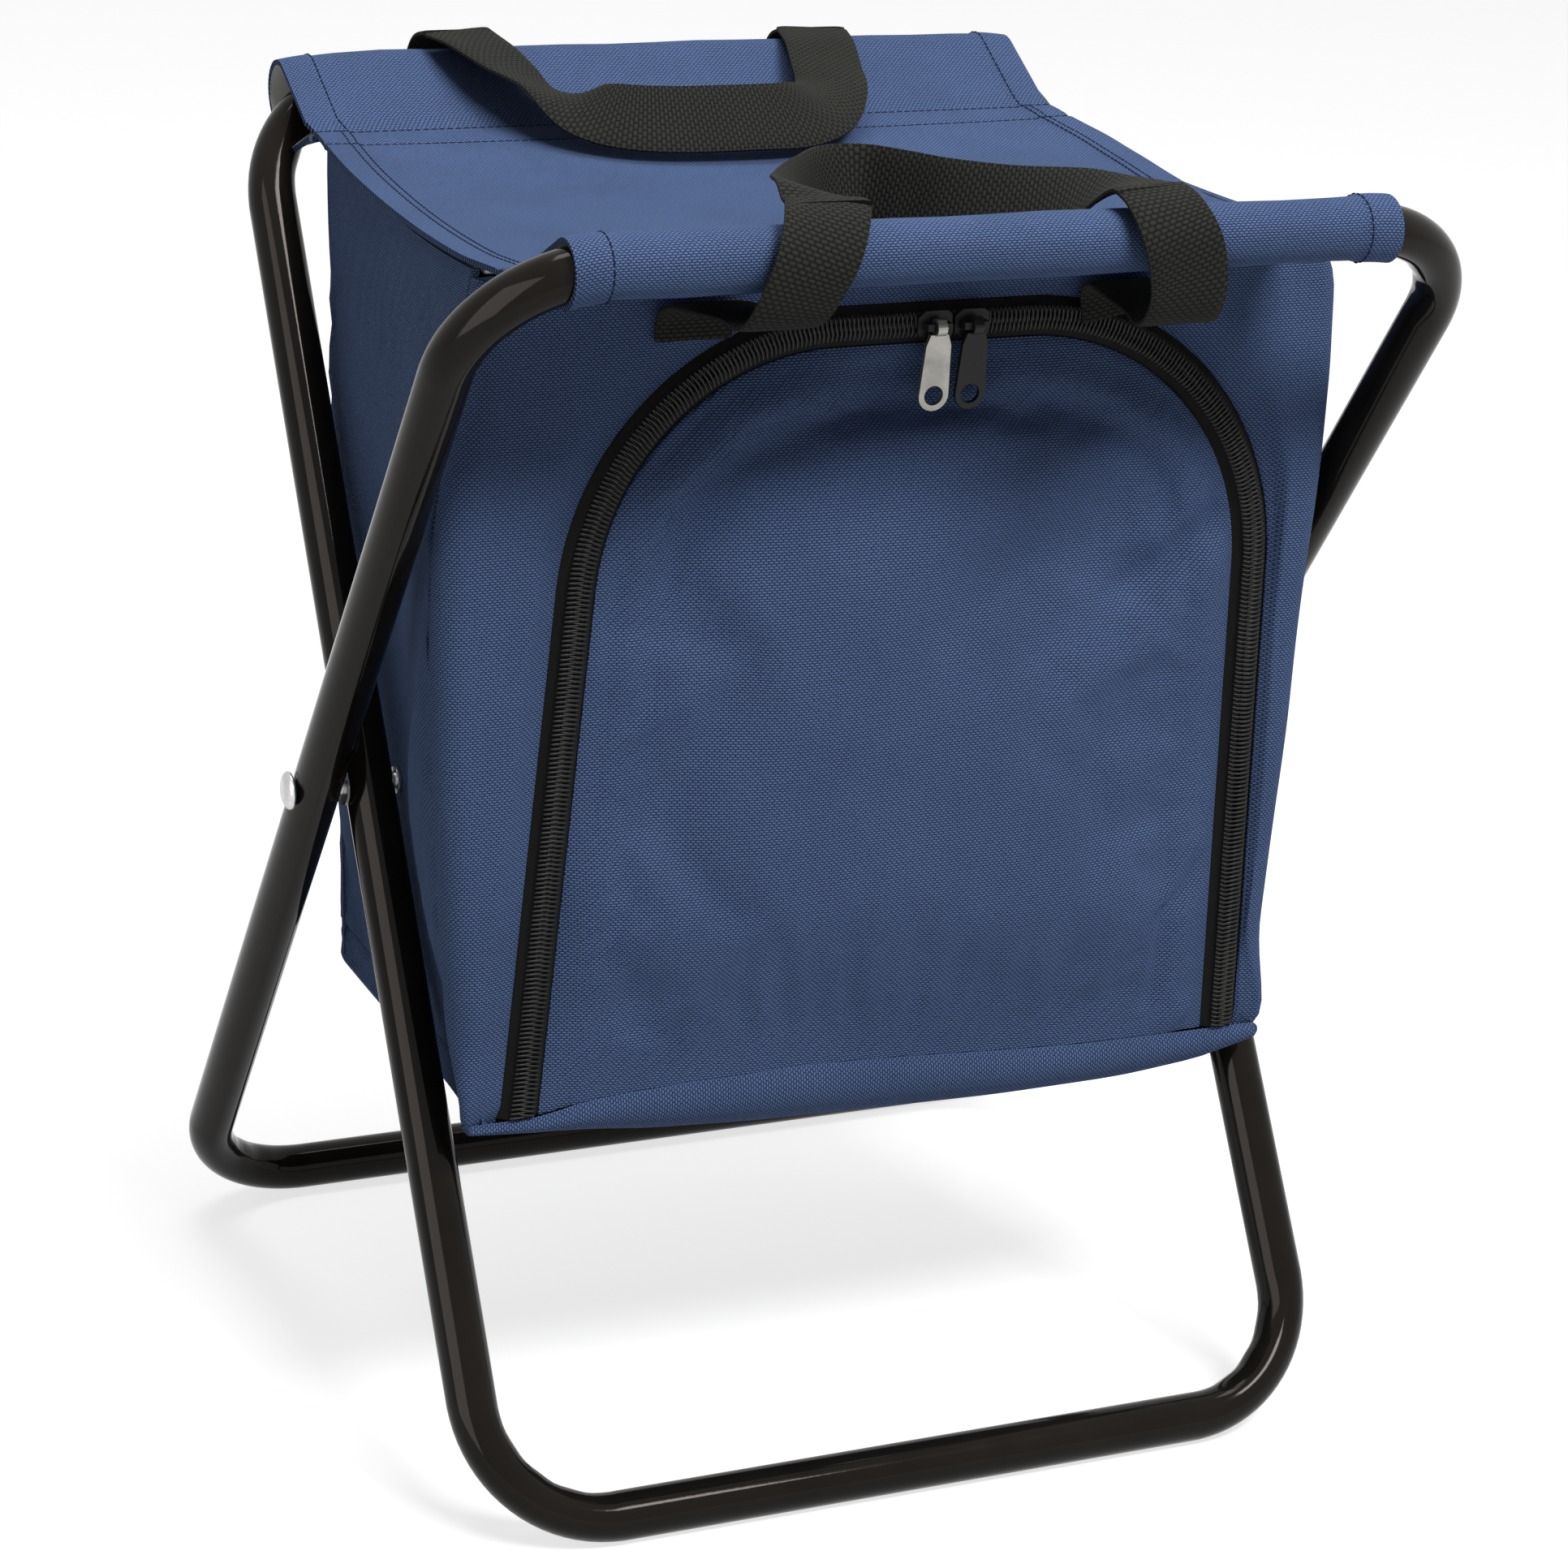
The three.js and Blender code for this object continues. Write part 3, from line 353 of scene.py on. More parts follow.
NYLON = smooth_finish(
    "nylon_coil", (0.016, 0.016, 0.015), (0.028, 0.028, 0.026), (0.3, 0.42), 0.01, 0.0004, 0.05,
    Specular_IOR_Level=0.25,
)
SILVER_FILM = smooth_finish(
    "silver_film", (0.72, 0.73, 0.74), (0.58, 0.59, 0.60), (0.3, 0.5), 0.03, 0.006, 0.9, Metallic=0.55
)
WHITE_BACKING = smooth_finish(
    "white_backing", (0.80, 0.80, 0.79), (0.70, 0.70, 0.69), (0.6, 0.75), 0.02, 0.001, 0.2
)
print("finishes", [finish.name for finish in bpy.data.materials])

# %% [markdown]
# Sizes that every piece shares, repeated from the CAD source in millimetres. The two loops lean 33.75 degrees
# each way about the rivets. The front panel stands on the flap seam and leans back a little, and points on it
# are given as across, up from the seam, and out towards the viewer.

# %% Shared sizes
PIVOT_Z = 210.05
HALF_ANGLE = math.radians(33.75)
TUBE_R, BEND_R = 8.0, 42.0
OUTER_LOOP = {"width": 325.42, "top": 243.0, "foot": 243.0, "tilt": HALF_ANGLE}
INNER_LOOP = {"width": 290.0, "top": 239.0, "foot": 243.0, "tilt": -HALF_ANGLE}
RAILS = {-1: OUTER_LOOP, 1: INNER_LOOP}  # the loop whose top rail is in front, and the one whose rail is behind
STITCH_Y, SEAT_Z, SEAT_SAG = 97.0, 400.1, 9.0
FRONT_FOOT_Y, FLAP_SEAM_Z, FRONT_LEAN = -88.0, 126.1, math.radians(2.7526)
BACK_FOOT_Y, BACK_FOOT_Z, BACK_LEAN = 64.58, 118.1, math.radians(6.08)
BAG_WAIST, LIP_RUN = 133.5, 18.0


def eased(low, high, value):
    share = np.clip((np.asarray(value, float) - low) / (high - low), 0, 1)
    return share * share * (3 - 2 * share)


def mix(a, b, share):
    return a + (b - a) * share


def soft_line(*knots, spread=12.0):
    """A soft curve that follows its knots and rounds them off, returned as a function."""
    at, value = np.array(knots, float).T
    fine = np.linspace(at[0], at[-1], 401)
    window = np.hanning(2 * int(spread / (fine[1] - fine[0])) + 1)
    padded = np.pad(np.interp(fine, at, value), len(window) // 2, mode="reflect", reflect_type="odd")
    curve = np.convolve(padded, window / window.sum(), "valid")
    return lambda x: np.interp(x, fine, curve)


def rail_centre(loop, x):
    """Middle of a loop's top rail in Y and Z at x, which falls away in the bends."""
    past = np.clip(np.abs(x) - (loop["width"] / 2 - BEND_R), 0, BEND_R)
    rise = loop["top"] - BEND_R + np.sqrt(BEND_R**2 - past**2)
    return -rise * math.sin(loop["tilt"]), PIVOT_Z + rise * math.cos(loop["tilt"])


def on_wall(x, h, d, foot_y, foot_z, lean):
    """A point on a leaning wall: across, up from its foot, and out to the rear."""
    x, h, d = np.broadcast_arrays(np.asarray(x, float), h, d)
    y = foot_y + h * math.sin(lean) + d * math.cos(lean)
    z = foot_z + h * math.cos(lean) - d * math.sin(lean)
    return np.stack([x, y, z], -1)


def on_front(x, h, d):
    """A point on the front panel's plane: across, up from the flap seam, out towards the viewer."""
    return on_wall(x, h, -d, FRONT_FOOT_Y, FLAP_SEAM_Z, FRONT_LEAN)


def on_back(x, h, d):
    """A point on the back wall's plane: across, up from its foot, out to the rear."""
    return on_wall(x, h, d, BACK_FOOT_Y, BACK_FOOT_Z, BACK_LEAN)


print("front rail", rail_centre(OUTER_LOOP, 0), "rear rail", rail_centre(INNER_LOOP, 0))

# %% [markdown]
# Meshes. Most pieces here are a grid of points, so one helper makes a mesh from points and faces, and another
# closes two grids, an outer and an inner face, with a rim. Both keep a map called cloth, in metres, for the weave.

# %% Mesh helpers
def make_piece(name, points, faces, finishes, face_finish=None, cloth=None, sharp=45):
    mesh = bpy.data.meshes.new(name)
    mesh.from_pydata((np.asarray(points) * MM).tolist(), [], np.asarray(faces).tolist())
    for finish in finishes:
        mesh.materials.append(finish)
    if face_finish is not None:
        mesh.polygons.foreach_set("material_index", np.asarray(face_finish, np.int32))
    if cloth is not None:
        corner = np.empty(len(mesh.loops), np.int32)
        mesh.loops.foreach_get("vertex_index", corner)
        layer = mesh.uv_layers.new(name="cloth")
        layer.data.foreach_set("uv", (np.asarray(cloth)[corner] * MM).astype(np.float32).ravel())
    mesh.polygons.foreach_set("use_smooth", np.ones(len(mesh.polygons), bool))
    mesh.set_sharp_from_angle(angle=math.radians(sharp))
    mesh.update()
    piece = bpy.data.objects.new(name, mesh)
    scene.collection.objects.link(piece)
    return piece


def unit(vectors):
    return vectors / np.maximum(np.linalg.norm(vectors, axis=-1, keepdims=True), 1e-9)


def grid_normals(grid):
    return unit(np.cross(np.gradient(grid, axis=1), np.gradient(grid, axis=0)))


def facing(grid, at, way):
    """Normals of a grid, all turned over where needed so that the one at a place points a given way."""
    normals = grid_normals(grid)
    return normals if normals[at] @ np.array(way, float) > 0 else -normals


def steps_of(points, axis=0):
    """Distances between neighbouring points of a line or a grid."""
    return np.linalg.norm(np.diff(points, axis=axis), axis=-1)


def walk(steps):
    """Distance from the start at every point, from the steps between them."""
    return np.concatenate([[0], np.cumsum(steps)])


def grid_lengths(grid):
    """Cloth coordinates of a grid: the mean distance walked along its columns and its rows."""
    u, v = walk(steps_of(grid, 1).mean(0)), walk(steps_of(grid).mean(1))
    return np.stack(np.meshgrid(u, v), -1)


def circle(sides):
    return np.linspace(0, 2 * math.pi, sides, endpoint=False)


def make_cloth(name, outer, inner, finishes, cloth=None, sharp=50, turned=(0, 0)):
    """A closed sheet or pad between two grids; a second finish goes inside, past the turned-over columns."""
    rows, columns = outer.shape[:2]
    size = rows * columns
    cloth = grid_lengths(outer) if cloth is None else cloth
    at = np.arange(size).reshape(rows, columns)
    face = np.stack([at[:-1, :-1], at[:-1, 1:], at[1:, 1:], at[1:, :-1]], -1).reshape(-1, 4)
    rim = np.concatenate([at[0, :-1], at[:-1, -1], at[-1, :0:-1], at[:0:-1, 0]])
    following = np.roll(rim, -1)
    edge = np.stack([following, rim, rim + size, following + size], -1)
    faces = np.concatenate([face, face[:, ::-1] + size, edge])
    middle = outer[rows // 2, columns // 2] - inner[rows // 2, columns // 2]
    if grid_normals(outer)[rows // 2, columns // 2] @ middle < 0:
        faces = faces[:, ::-1]
    column = np.tile(np.arange(columns - 1), rows - 1)
    lined = (column >= turned[0]) & (column < columns - 1 - turned[1])
    finish_of = np.concatenate([0 * column, lined * (len(finishes) - 1), 0 * rim])
    points = np.concatenate([outer.reshape(-1, 3), inner.reshape(-1, 3)])
    both = np.concatenate([cloth.reshape(-1, 2)] * 2)
    return make_piece(name, points, faces, finishes, finish_of, both, sharp)


def ring_faces(rings, sides, closed):
    at = np.arange(rings * sides).reshape(rings, sides)
    after = np.roll(at, -1, axis=0) if closed else at[1:]
    at = at if closed else at[:-1]
    turned, after_turned = np.roll(at, -1, axis=1), np.roll(after, -1, axis=1)
    return np.stack([at, turned, after_turned, after], -1).reshape(-1, 4)


# %% [markdown]
# Tube loops. Each loop is one steel tube bent at four corners and joined end to end. A curve with a bevel would
# sweep it, but a real bend is not round: the bender flattens the tube across the bend and leaves faint ripples
# on its inner side. Rings of points placed one by one can do both.

# %% Tube loops
TUBE_SIDES, BEND_STEPS, RUN_STEPS = 40, 20, 6
FLATTENING, WIDENING = 0.07, 0.3  # across a bend, and the share of it by which the tube gets wider
RIPPLE, RIPPLE_TURNS = 0.22, 9


def make_tube(name, loop, body, node):
    around = circle(TUBE_SIDES)
    corner_x = loop["width"] / 2 - BEND_R
    top, foot = loop["top"] - BEND_R, BEND_R - loop["foot"]
    rings, previous = [], None
    for corner, (x, z) in enumerate([(corner_x, top), (-corner_x, top), (-corner_x, foot), (corner_x, foot)]):
        for step in range(BEND_STEPS + 1):
            share = step / BEND_STEPS
            turn = (corner + share) * math.pi / 2
            outward = np.array([math.cos(turn), 0, math.sin(turn)])
            squeeze = FLATTENING * math.sin(math.pi * share) ** 0.7 if 0 < share < 1 else 0
            inside = np.clip(-np.cos(around), 0, 1) ** 2
            ripple = RIPPLE * inside * math.sin(math.pi * share) * math.sin(RIPPLE_TURNS * math.pi * share)
            radial = (TUBE_R * (1 - squeeze) + ripple) * np.cos(around)
            sideways = TUBE_R * (1 + WIDENING * squeeze) * np.sin(around)
            ring = np.outer(BEND_R + radial, outward) + np.array([x, 0, z])
            ring[:, 1] = sideways
            if step == 0 and previous is not None:
                rings += [mix(previous, ring, k / RUN_STEPS) for k in range(1, RUN_STEPS)]
            rings.append(ring)
            previous = ring
    rings += [mix(previous, rings[0], k / RUN_STEPS) for k in range(1, RUN_STEPS)]
    points = np.array(rings).reshape(-1, 3)
    lean = loop["tilt"]
    y = points[:, 1] * math.cos(lean) - points[:, 2] * math.sin(lean)
    z = points[:, 1] * math.sin(lean) + points[:, 2] * math.cos(lean) + PIVOT_Z
    points = np.stack([points[:, 0], y, z], -1)
    tube = make_piece(name, points, ring_faces(len(rings), TUBE_SIDES, True), [BLACK_PAINT])
    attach(tube, body)
    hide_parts(node)
    print(name, len(rings), "rings, lowest", points[:, 2].min())


make_tube("outer_tube", OUTER_LOOP, "outer_frame", "outer_tube_loop")
make_tube("inner_tube", INNER_LOOP, "inner_frame", "inner_tube_loop")

# %% [markdown]
# Rivets. A domed rivet passes through both legs on each side and its tail is rolled over inside the inner leg.
# It is a turned shape, so its profile is written down once and spun about X.

# %% Rivets
RIVET_SIDES = 48
LEG_PITCH, LEG_FACE = 17.712, 8.457
SHANK_R, HEAD_R, RIM_R, RIM_T, DOME_RISE = 3, 6.0, 6.25, 0.5, 2.5
TIP_R = 0.05  # the profile stops just short of the axis


def make_rivet(name, side, node):
    head, tail = LEG_PITCH + LEG_FACE, -LEG_FACE
    dome = [
        (RIM_R * math.cos(a), head + RIM_T + DOME_RISE * math.sin(a)) for a in np.linspace(0, 0.49 * math.pi, 9)
    ]
    profile = [
        (TIP_R, tail - 1.2), (2.2, tail - 1.4), (3.3, tail - 1.8), (4.2, tail - 1.4), (4.5, tail - 0.7),
        (4.4, tail - 0.1), (SHANK_R, tail), (SHANK_R, head), (HEAD_R, head), *dome,
        (TIP_R, head + RIM_T + DOME_RISE),
    ]
    radius, reach = np.array(profile).T
    around = circle(RIVET_SIDES)
    x = side * (INNER_LOOP["width"] / 2 + np.repeat(reach, RIVET_SIDES))
    y = np.outer(radius, np.cos(around)).ravel()
    z = PIVOT_Z + np.outer(radius, np.sin(around)).ravel()
    faces = ring_faces(len(profile), RIVET_SIDES, False)
    faces = faces if side < 0 else faces[:, ::-1]
    rivet = make_piece(name, np.stack([x, y, z], -1), faces, [ZINC], sharp=60)
    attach(rivet, "inner_frame")
    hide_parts(node)
    print(name, len(faces), "faces")


make_rivet("left_domed_rivet", -1, "left_rivet")
make_rivet("right_domed_rivet", 1, "right_rivet")
for washer in ("left_spacer_washer", "right_spacer_washer"):
    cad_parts[washer].data.materials.clear()
    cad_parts[washer].data.materials.append(ZINC)

# %% [markdown]
# Stitching. Rows of stitches are what makes sewn cloth look sewn. A dashed bump would only show face on, so each
# stitch is a short bent thread: its ends dip into the cloth and its middle stands just proud of it.

# %% Stitch helper
STITCH_PITCH, STITCH_FINE = 2.8, 10  # length of a stitch, and how many points along it there are to choose from
STITCH_SHARES = np.array([0.05, 0.2, 0.5, 0.8, 0.95])
STITCH_LIFTS = np.array([-0.3, 0.08, 0.16, 0.08, -0.3])
THREAD_R, THREAD_SIDES = 0.23, 6


def resample(line, count):
    steps = walk(steps_of(line))
    wanted = np.linspace(0, steps[-1], count)
    return np.stack([np.interp(wanted, steps, line[:, k]) for k in range(line.shape[1])], -1)


def stitch_row(line, normals):
    """Points and faces of a row of stitches along a line on cloth."""
    count = max(2, int(steps_of(line).sum() / STITCH_PITCH))
    fine = resample(np.concatenate([line, normals], 1), count * STITCH_FINE + 1)
    around, rings = circle(THREAD_SIDES), len(STITCH_SHARES)
    points, faces = [], []
    for k in range(count):
        at = np.rint((k + STITCH_SHARES) * STITCH_FINE).astype(int)
        middle, normal = fine[at, :3], unit(fine[at, 3:])
        along = middle[-1] - middle[0]
        side = np.cross(along / np.linalg.norm(along), normal)
        ring = THREAD_R * (
            side[:, None] * np.cos(around)[None, :, None] + normal[:, None] * np.sin(around)[None, :, None]
        )
        points.append((middle + normal * STITCH_LIFTS[:, None])[:, None] + ring)
        faces.append(ring_faces(rings, THREAD_SIDES, False) + k * rings * THREAD_SIDES)
    return np.concatenate(points).reshape(-1, 3), np.concatenate(faces)


def make_stitching(name, rows):
    points, faces, total = [], [], 0
    for line, normals in rows:
        row_points, row_faces = stitch_row(line, normals)
        points.append(row_points)
        faces.append(row_faces + total)
        total += len(row_points)
    points, faces = np.concatenate(points), np.concatenate(faces)
    piece = make_piece(name, points, faces, [THREAD], cloth=points[:, :2], sharp=80)
    print(name, total // (len(STITCH_SHARES) * THREAD_SIDES), "stitches")
    return piece


# %% [markdown]
# Seat. One cloth goes round the front rail, across as the seat, and round the rear rail; the two sleeves are
# closed by a double row of stitches. The loom width runs along the rails. It could be a simulation hung from two
# pins, but the sleeves have to stay round the tube, so its section is drawn at each place along the rails: a drop
# round the tube, a slope to the stitches, and the sagging seat. The free side edges are hemmed and sag less.

# %% Seat cloth
EDGE_STEPS = np.array([0, 0.8, 2.2, 4.2, 6.2, 8.4, 11.0, 12.2, 15.0, 20.0])  # from a cloth's side edge
SEAT_SHARES = np.linspace(0, 1, 15)[1:-1]  # between the last of those steps on both sides
SLEEVE_ENDS = {-1: (-136.5, 130.2), 1: (-137.0, 132.0)}
SLEEVE_R, SLEEVE_LAG = {-1: 9.6, 1: 10.2}, {-1: 0.6, 1: 0.16}
STITCH_ROWS = (84.0, 96.2)
SEAT_HALF, EDGE_STIFFNESS = 138.0, 3.5  # half width of the seat, and how much less its hemmed edges sag
CLOTH_T, HEM_T, STITCH_PULL = 1.2, 0.6, 0.5
CLOTH_TOP = SEAT_Z + 0.4


def seat_top(x, y, half):
    """Top of the seat: it sags between the stitch rows, less along its hemmed side edges."""
    hollow = 1 - np.minimum(1, np.abs(y) / STITCH_Y) ** 2
    return CLOTH_TOP - hollow * (SEAT_SAG - EDGE_STIFFNESS * np.clip(np.abs(x) / half, 0, 1) ** 3)


LEFT_SIDE = soft_line((-97, -136.5), (-60, -139.5), (60, -137), (97, -135))
RIGHT_SIDE = soft_line((-97, 128.5), (-34, 131), (0, 134.5), (30, 137), (60, 137.5), (97, 133))


def sleeve_section(x, end):
    """A sleeve's section at x, from the stitch line's underside round the tube to its top."""
    loop, radius = RAILS[end], SLEEVE_R[end] + 0.2 * math.sin(x / 9.0)
    level, tube = np.array(rail_centre(loop, 0), float), np.array(rail_centre(loop, x), float)
    held = np.array([mix(level, tube, SLEEVE_LAG[end]), mix(level, tube, 0.85)])
    stitch = np.array([end * STITCH_Y, CLOTH_TOP])
    under = stitch - np.array([0, 2.6])

    def pulled_round(angles):
        ways = np.stack([np.cos(angles), np.sin(angles)], -1)
        reach = ways @ held.T
        points = held[reach.argmax(1)] + radius * ways
        return points, reach.max(1) + radius - ways @ stitch

    heading = math.atan2(*(stitch - tube)[::-1])
    swing = np.linspace(0, math.pi, 721)
    down, over = (heading + swing * end, heading - swing * end)
    first = down[np.argmax(pulled_round(down)[1] > 0)]
    last = over[np.argmax(pulled_round(over)[1] > 0)]
    ring = pulled_round(np.linspace(first, last + 2 * math.pi * end, 23))[0]
    tail = [mix(under, ring[0], s) for s in (0, 0.4, 0.75)]
    slope = [mix(ring[-1], stitch, s) for s in (0.3, 0.6, 0.85)]
    return np.array([*tail, *ring, *slope])


def spots(left, right_end):
    """Places across the cloth from its left edge to its right one, close together at the hems."""
    between = right_end - left - 2 * EDGE_STEPS[-1]
    return np.concatenate([
        left + EDGE_STEPS, left + EDGE_STEPS[-1] + between * SEAT_SHARES, right_end - EDGE_STEPS[::-1],
    ])


def make_seat():
    near_y = np.array([97, 96.2, 94.5, 90, 86, 84, 82])
    seat_y = np.concatenate([-near_y, np.linspace(-77, 77, 36), near_y[::-1]])
    front, rear = (
        np.stack([np.insert(sleeve_section(x, end), 0, x, axis=1) for x in spots(*SLEEVE_ENDS[end])], 1)
        for end in (-1, 1)
    )
    x = np.array([spots(LEFT_SIDE(y), RIGHT_SIDE(y)) for y in seat_y])
    x, y = np.broadcast_arrays(x, seat_y[:, None])
    top = np.stack([x, y, seat_top(x, y, SEAT_HALF)], -1)
    grid = np.concatenate([front, top, rear[::-1]])
    columns = grid.shape[1]
    normals = facing(grid, (len(grid) // 2, columns // 2), (0, 0, 1))
    from_edge = np.concatenate([EDGE_STEPS, np.full(len(SEAT_SHARES), 99.0), EDGE_STEPS[::-1]])
    hem = HEM_T * (1 - eased(11.0, 12.2, from_edge))
    pull = sum(np.exp(-(((np.abs(grid[..., 1]) - row) / 1.4) ** 2)) for row in STITCH_ROWS)
    pull[: len(front)], pull[-len(rear) :] = 0, 0
    outer = grid + normals * (hem[None, :] - STITCH_PULL * pull)[..., None]
    inner = outer - normals * (CLOTH_T + hem[None, :])[..., None]
    seat = make_cloth("seat_cloth", outer, inner, [NAVY_CLOTH, WHITE_BACKING])

    first, last = len(front), len(front) + len(seat_y) - 1
    rows = [(outer[r], normals[r]) for r in (first + 1, first + 5, last - 5, last - 1)]
    for edge_column, hem_column in ((5, 6), (columns - 6, columns - 7)):
        runs = [(part, hem_column) for part in (slice(3, first + 1), slice(last, len(outer) - 3))]
        runs += [(slice(first, last + 1), column) for column in (edge_column, hem_column)]
        rows += [(outer[run], normals[run]) for run in runs]
    stitching = make_stitching("seat_stitching", rows)

    for piece in (seat, stitching):
        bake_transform(piece)
    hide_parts("seat_panel", "front_sleeve", "rear_sleeve")


make_seat()

# %% [markdown]
# Settling. Padded cloth never lies as true as it is drawn: foam pushes it out between its seams and spare cloth
# buckles. That is what a cloth simulation is for. A drawn piece is pinned along its seams, given a little spare
# length and a little air inside, and left for twenty frames; what it did is kept in the mesh and the simulation is
# taken off. No vertex may go further than a cap, so it keeps clear of what is beside it.

# %% Settling
SETTLE_FRAMES = 20


def places_of(mesh):
    flat = np.empty(len(mesh.vertices) * 3)
    mesh.vertices.foreach_get("co", flat)
    return flat.reshape(-1, 3)


def settle(piece, loose, pressure, slack, cap):
    """Let a padded piece find its bulges; loose and cap are per vertex, 0 to 1 and millimetres."""
    mesh = piece.data
    drawn = places_of(mesh)
    pins = piece.vertex_groups.new(name="pins")
    for number, freedom in enumerate(loose):
        pins.add([number], float(1 - freedom), "REPLACE")
    cloth = piece.modifiers.new("settle", "CLOTH")
    cloth.settings.vertex_group_mass = "pins"
    cloth.settings.use_pressure = True
    cloth.settings.uniform_pressure_force = pressure
    cloth.settings.shrink_min = -slack
    cloth.settings.effector_weights.gravity = 0
    cloth.collision_settings.use_collision = False
    for step in range(1, SETTLE_FRAMES + 1):
        scene.frame_set(step)
    seen = piece.evaluated_get(bpy.context.evaluated_depsgraph_get())
    moved = places_of(seen.data) - drawn
    distance = np.maximum(np.linalg.norm(moved, axis=1), 1e-9)
    limit = np.asarray(cap) * MM
    moved *= (limit * np.tanh(distance / limit) / distance)[:, None]
    mesh.vertices.foreach_set("co", (drawn + moved).ravel())
    piece.modifiers.remove(cloth)
    piece.vertex_groups.remove(pins)
    scene.frame_set(1)
    mesh.update()
    print(piece.name, "settled by up to", round(distance.max() / MM, 1), "mm before the cap")


# %% [markdown]
# Bag wrap. The two sides and the bottom of the bag are one padded strip: navy outside, foam, silver film inside.
# Five plates would look like a box, so it is lofted as a rounded U that is drawn in behind the legs, rolls up to
# the flap seam in front, and turns in at the seams. A seam runs along each side where the bottom is sewn on. The
# navy cloth is turned over at the front seam, so the film starts a little way inside.

# %% Bag outline
FRONT_EDGE = {
    -1: soft_line(
        (0, 141.5), (25, 144.2), (107, 150.5), (165, 152.0), (191, 151), (219, 146), (245, 143), (268, 139)
    ),
    1: soft_line((0, 144.5), (40, 144.5), (107, 148.7), (165, 151), (225, 154.2), (256, 153.4), (268, 147)),
}
LIP_DEPTH = soft_line(
    (-142, 5), (-118, 8), (-75, 14), (-40, 16.5), (5, 18), (50, 19), (95, 18.5), (125, 15), (144, 8)
)
SEAM_RISE = soft_line(
    (-150, 0), (-115.5, 0), (-100, 3.6), (-73, 5), (-23, 6), (10, 4.5), (50, 1.8), (77, 0.4), (121, 0), (150, 0),
    spread=9,
)


def front_y(z):
    return FRONT_FOOT_Y + (z - FLAP_SEAM_Z) * math.tan(FRONT_LEAN)


def back_y(z):
    return BACK_FOOT_Y + (z - BACK_FOOT_Z) * math.tan(BACK_LEAN)


def leg_line(z):
    return (z - PIVOT_Z) * math.tan(HALF_ANGLE)


def bag_half(sign, y, z):
    """Half width of the bag, which is drawn in where it passes the inner legs."""
    waist_y = np.minimum(back_y(z), leg_line(z) - 1.8 * TUBE_R)
    share = np.clip((y - front_y(z)) / np.maximum(waist_y - front_y(z), 1), 0, 1)
    share = mix(share, share * share * (3 - 2 * share), 0.6)
    return mix(FRONT_EDGE[sign](z - FLAP_SEAM_Z), BAG_WAIST, share)


def lip_rise(y):
    """How far the underside has risen to the flap seam, as a share, on its way round the lip."""
    before = 1 - np.clip((y - FRONT_FOOT_Y) / LIP_RUN, 0, 1)
    return 1 - np.sqrt(1 - before**2)


def foot_z(x, y, rise):
    """Underside of the bag, raised by a share of the way to the flap seam."""
    back_share = np.clip((y - FRONT_FOOT_Y - LIP_RUN) / (BACK_FOOT_Y - FRONT_FOOT_Y - LIP_RUN), 0, 1)
    low = mix(FLAP_SEAM_Z - LIP_DEPTH(x), BACK_FOOT_Z, eased(0, 1, back_share))
    return low + (FLAP_SEAM_Z + SEAM_RISE(x) - low) * rise


FRONT_CORNER, BACK_CORNER = 3.5, 8.0


def corner_r(y):
    """Radius of the corner between side and underside, tight at the front seam."""
    return mix(FRONT_CORNER, BACK_CORNER, eased(-86, -40, y))


def panel_roll(h):
    """How far the front panel turns round the bag's corner, less and less towards the foot."""
    return mix(2.0, 9.0, eased(4, 36, h))


# %% Bag wrap
WRAP_T, SEAM_T, SIDE_TURN, BACK_TURN = 6.2, 1.6, 2.5, 6.0
BOTTOM_SEAM = 17.0  # height of the seam along the sides, over the underside
LIP_HOLLOW = math.radians(28)  # the lip starts behind its fullest point
FOOT_LEVEL, LIP_LEVEL, SIDE_LEVELS = 132.0, 127.0, (134.0, 395.0)  # heights at which the bag's outline is read
SIDE_HEIGHT, SIDE_FOOT_X = 264.0, 130.0  # height of a side, and where the underside is read for it
BELLY, BAG_DEPTH = 2.0, 152.0  # how far the bottom hangs down, and how deep the bag is from front to back
BAG_TOP_HALF, WRAP_GAP, CEILING_GAP = 139.0, 2.4, 2.6  # half width at the top, and room under the seat's top


def wrap_point(kind, sign, share, y, rise, side_in, back_in):
    corner = corner_r(y)
    if kind == "bottom":
        left = bag_half(-1, y, FOOT_LEVEL) - corner - back_in
        x = mix(-left, bag_half(1, y, FOOT_LEVEL) - corner - back_in, share)
        along = np.clip((y - FRONT_FOOT_Y) / BAG_DEPTH, 0, 1)
        belly = BELLY * math.sin(math.pi * share) * math.sin(math.pi * along)
        return x, y, foot_z(x, y, rise) + back_in - belly
    half = bag_half(sign, y, FOOT_LEVEL) - side_in - back_in
    foot = foot_z(sign * (half - corner), y, rise) + back_in
    if kind == "corner":
        angle = share * math.pi / 2
        return sign * (half - corner * (1 - math.cos(angle))), y, foot + corner * (1 - math.sin(angle))
    top = seat_top(SEAT_HALF, y, BAG_TOP_HALF) - WRAP_GAP
    z = mix(foot + corner, top, share)
    return sign * (bag_half(sign, y, z) - side_in - back_in), y, z


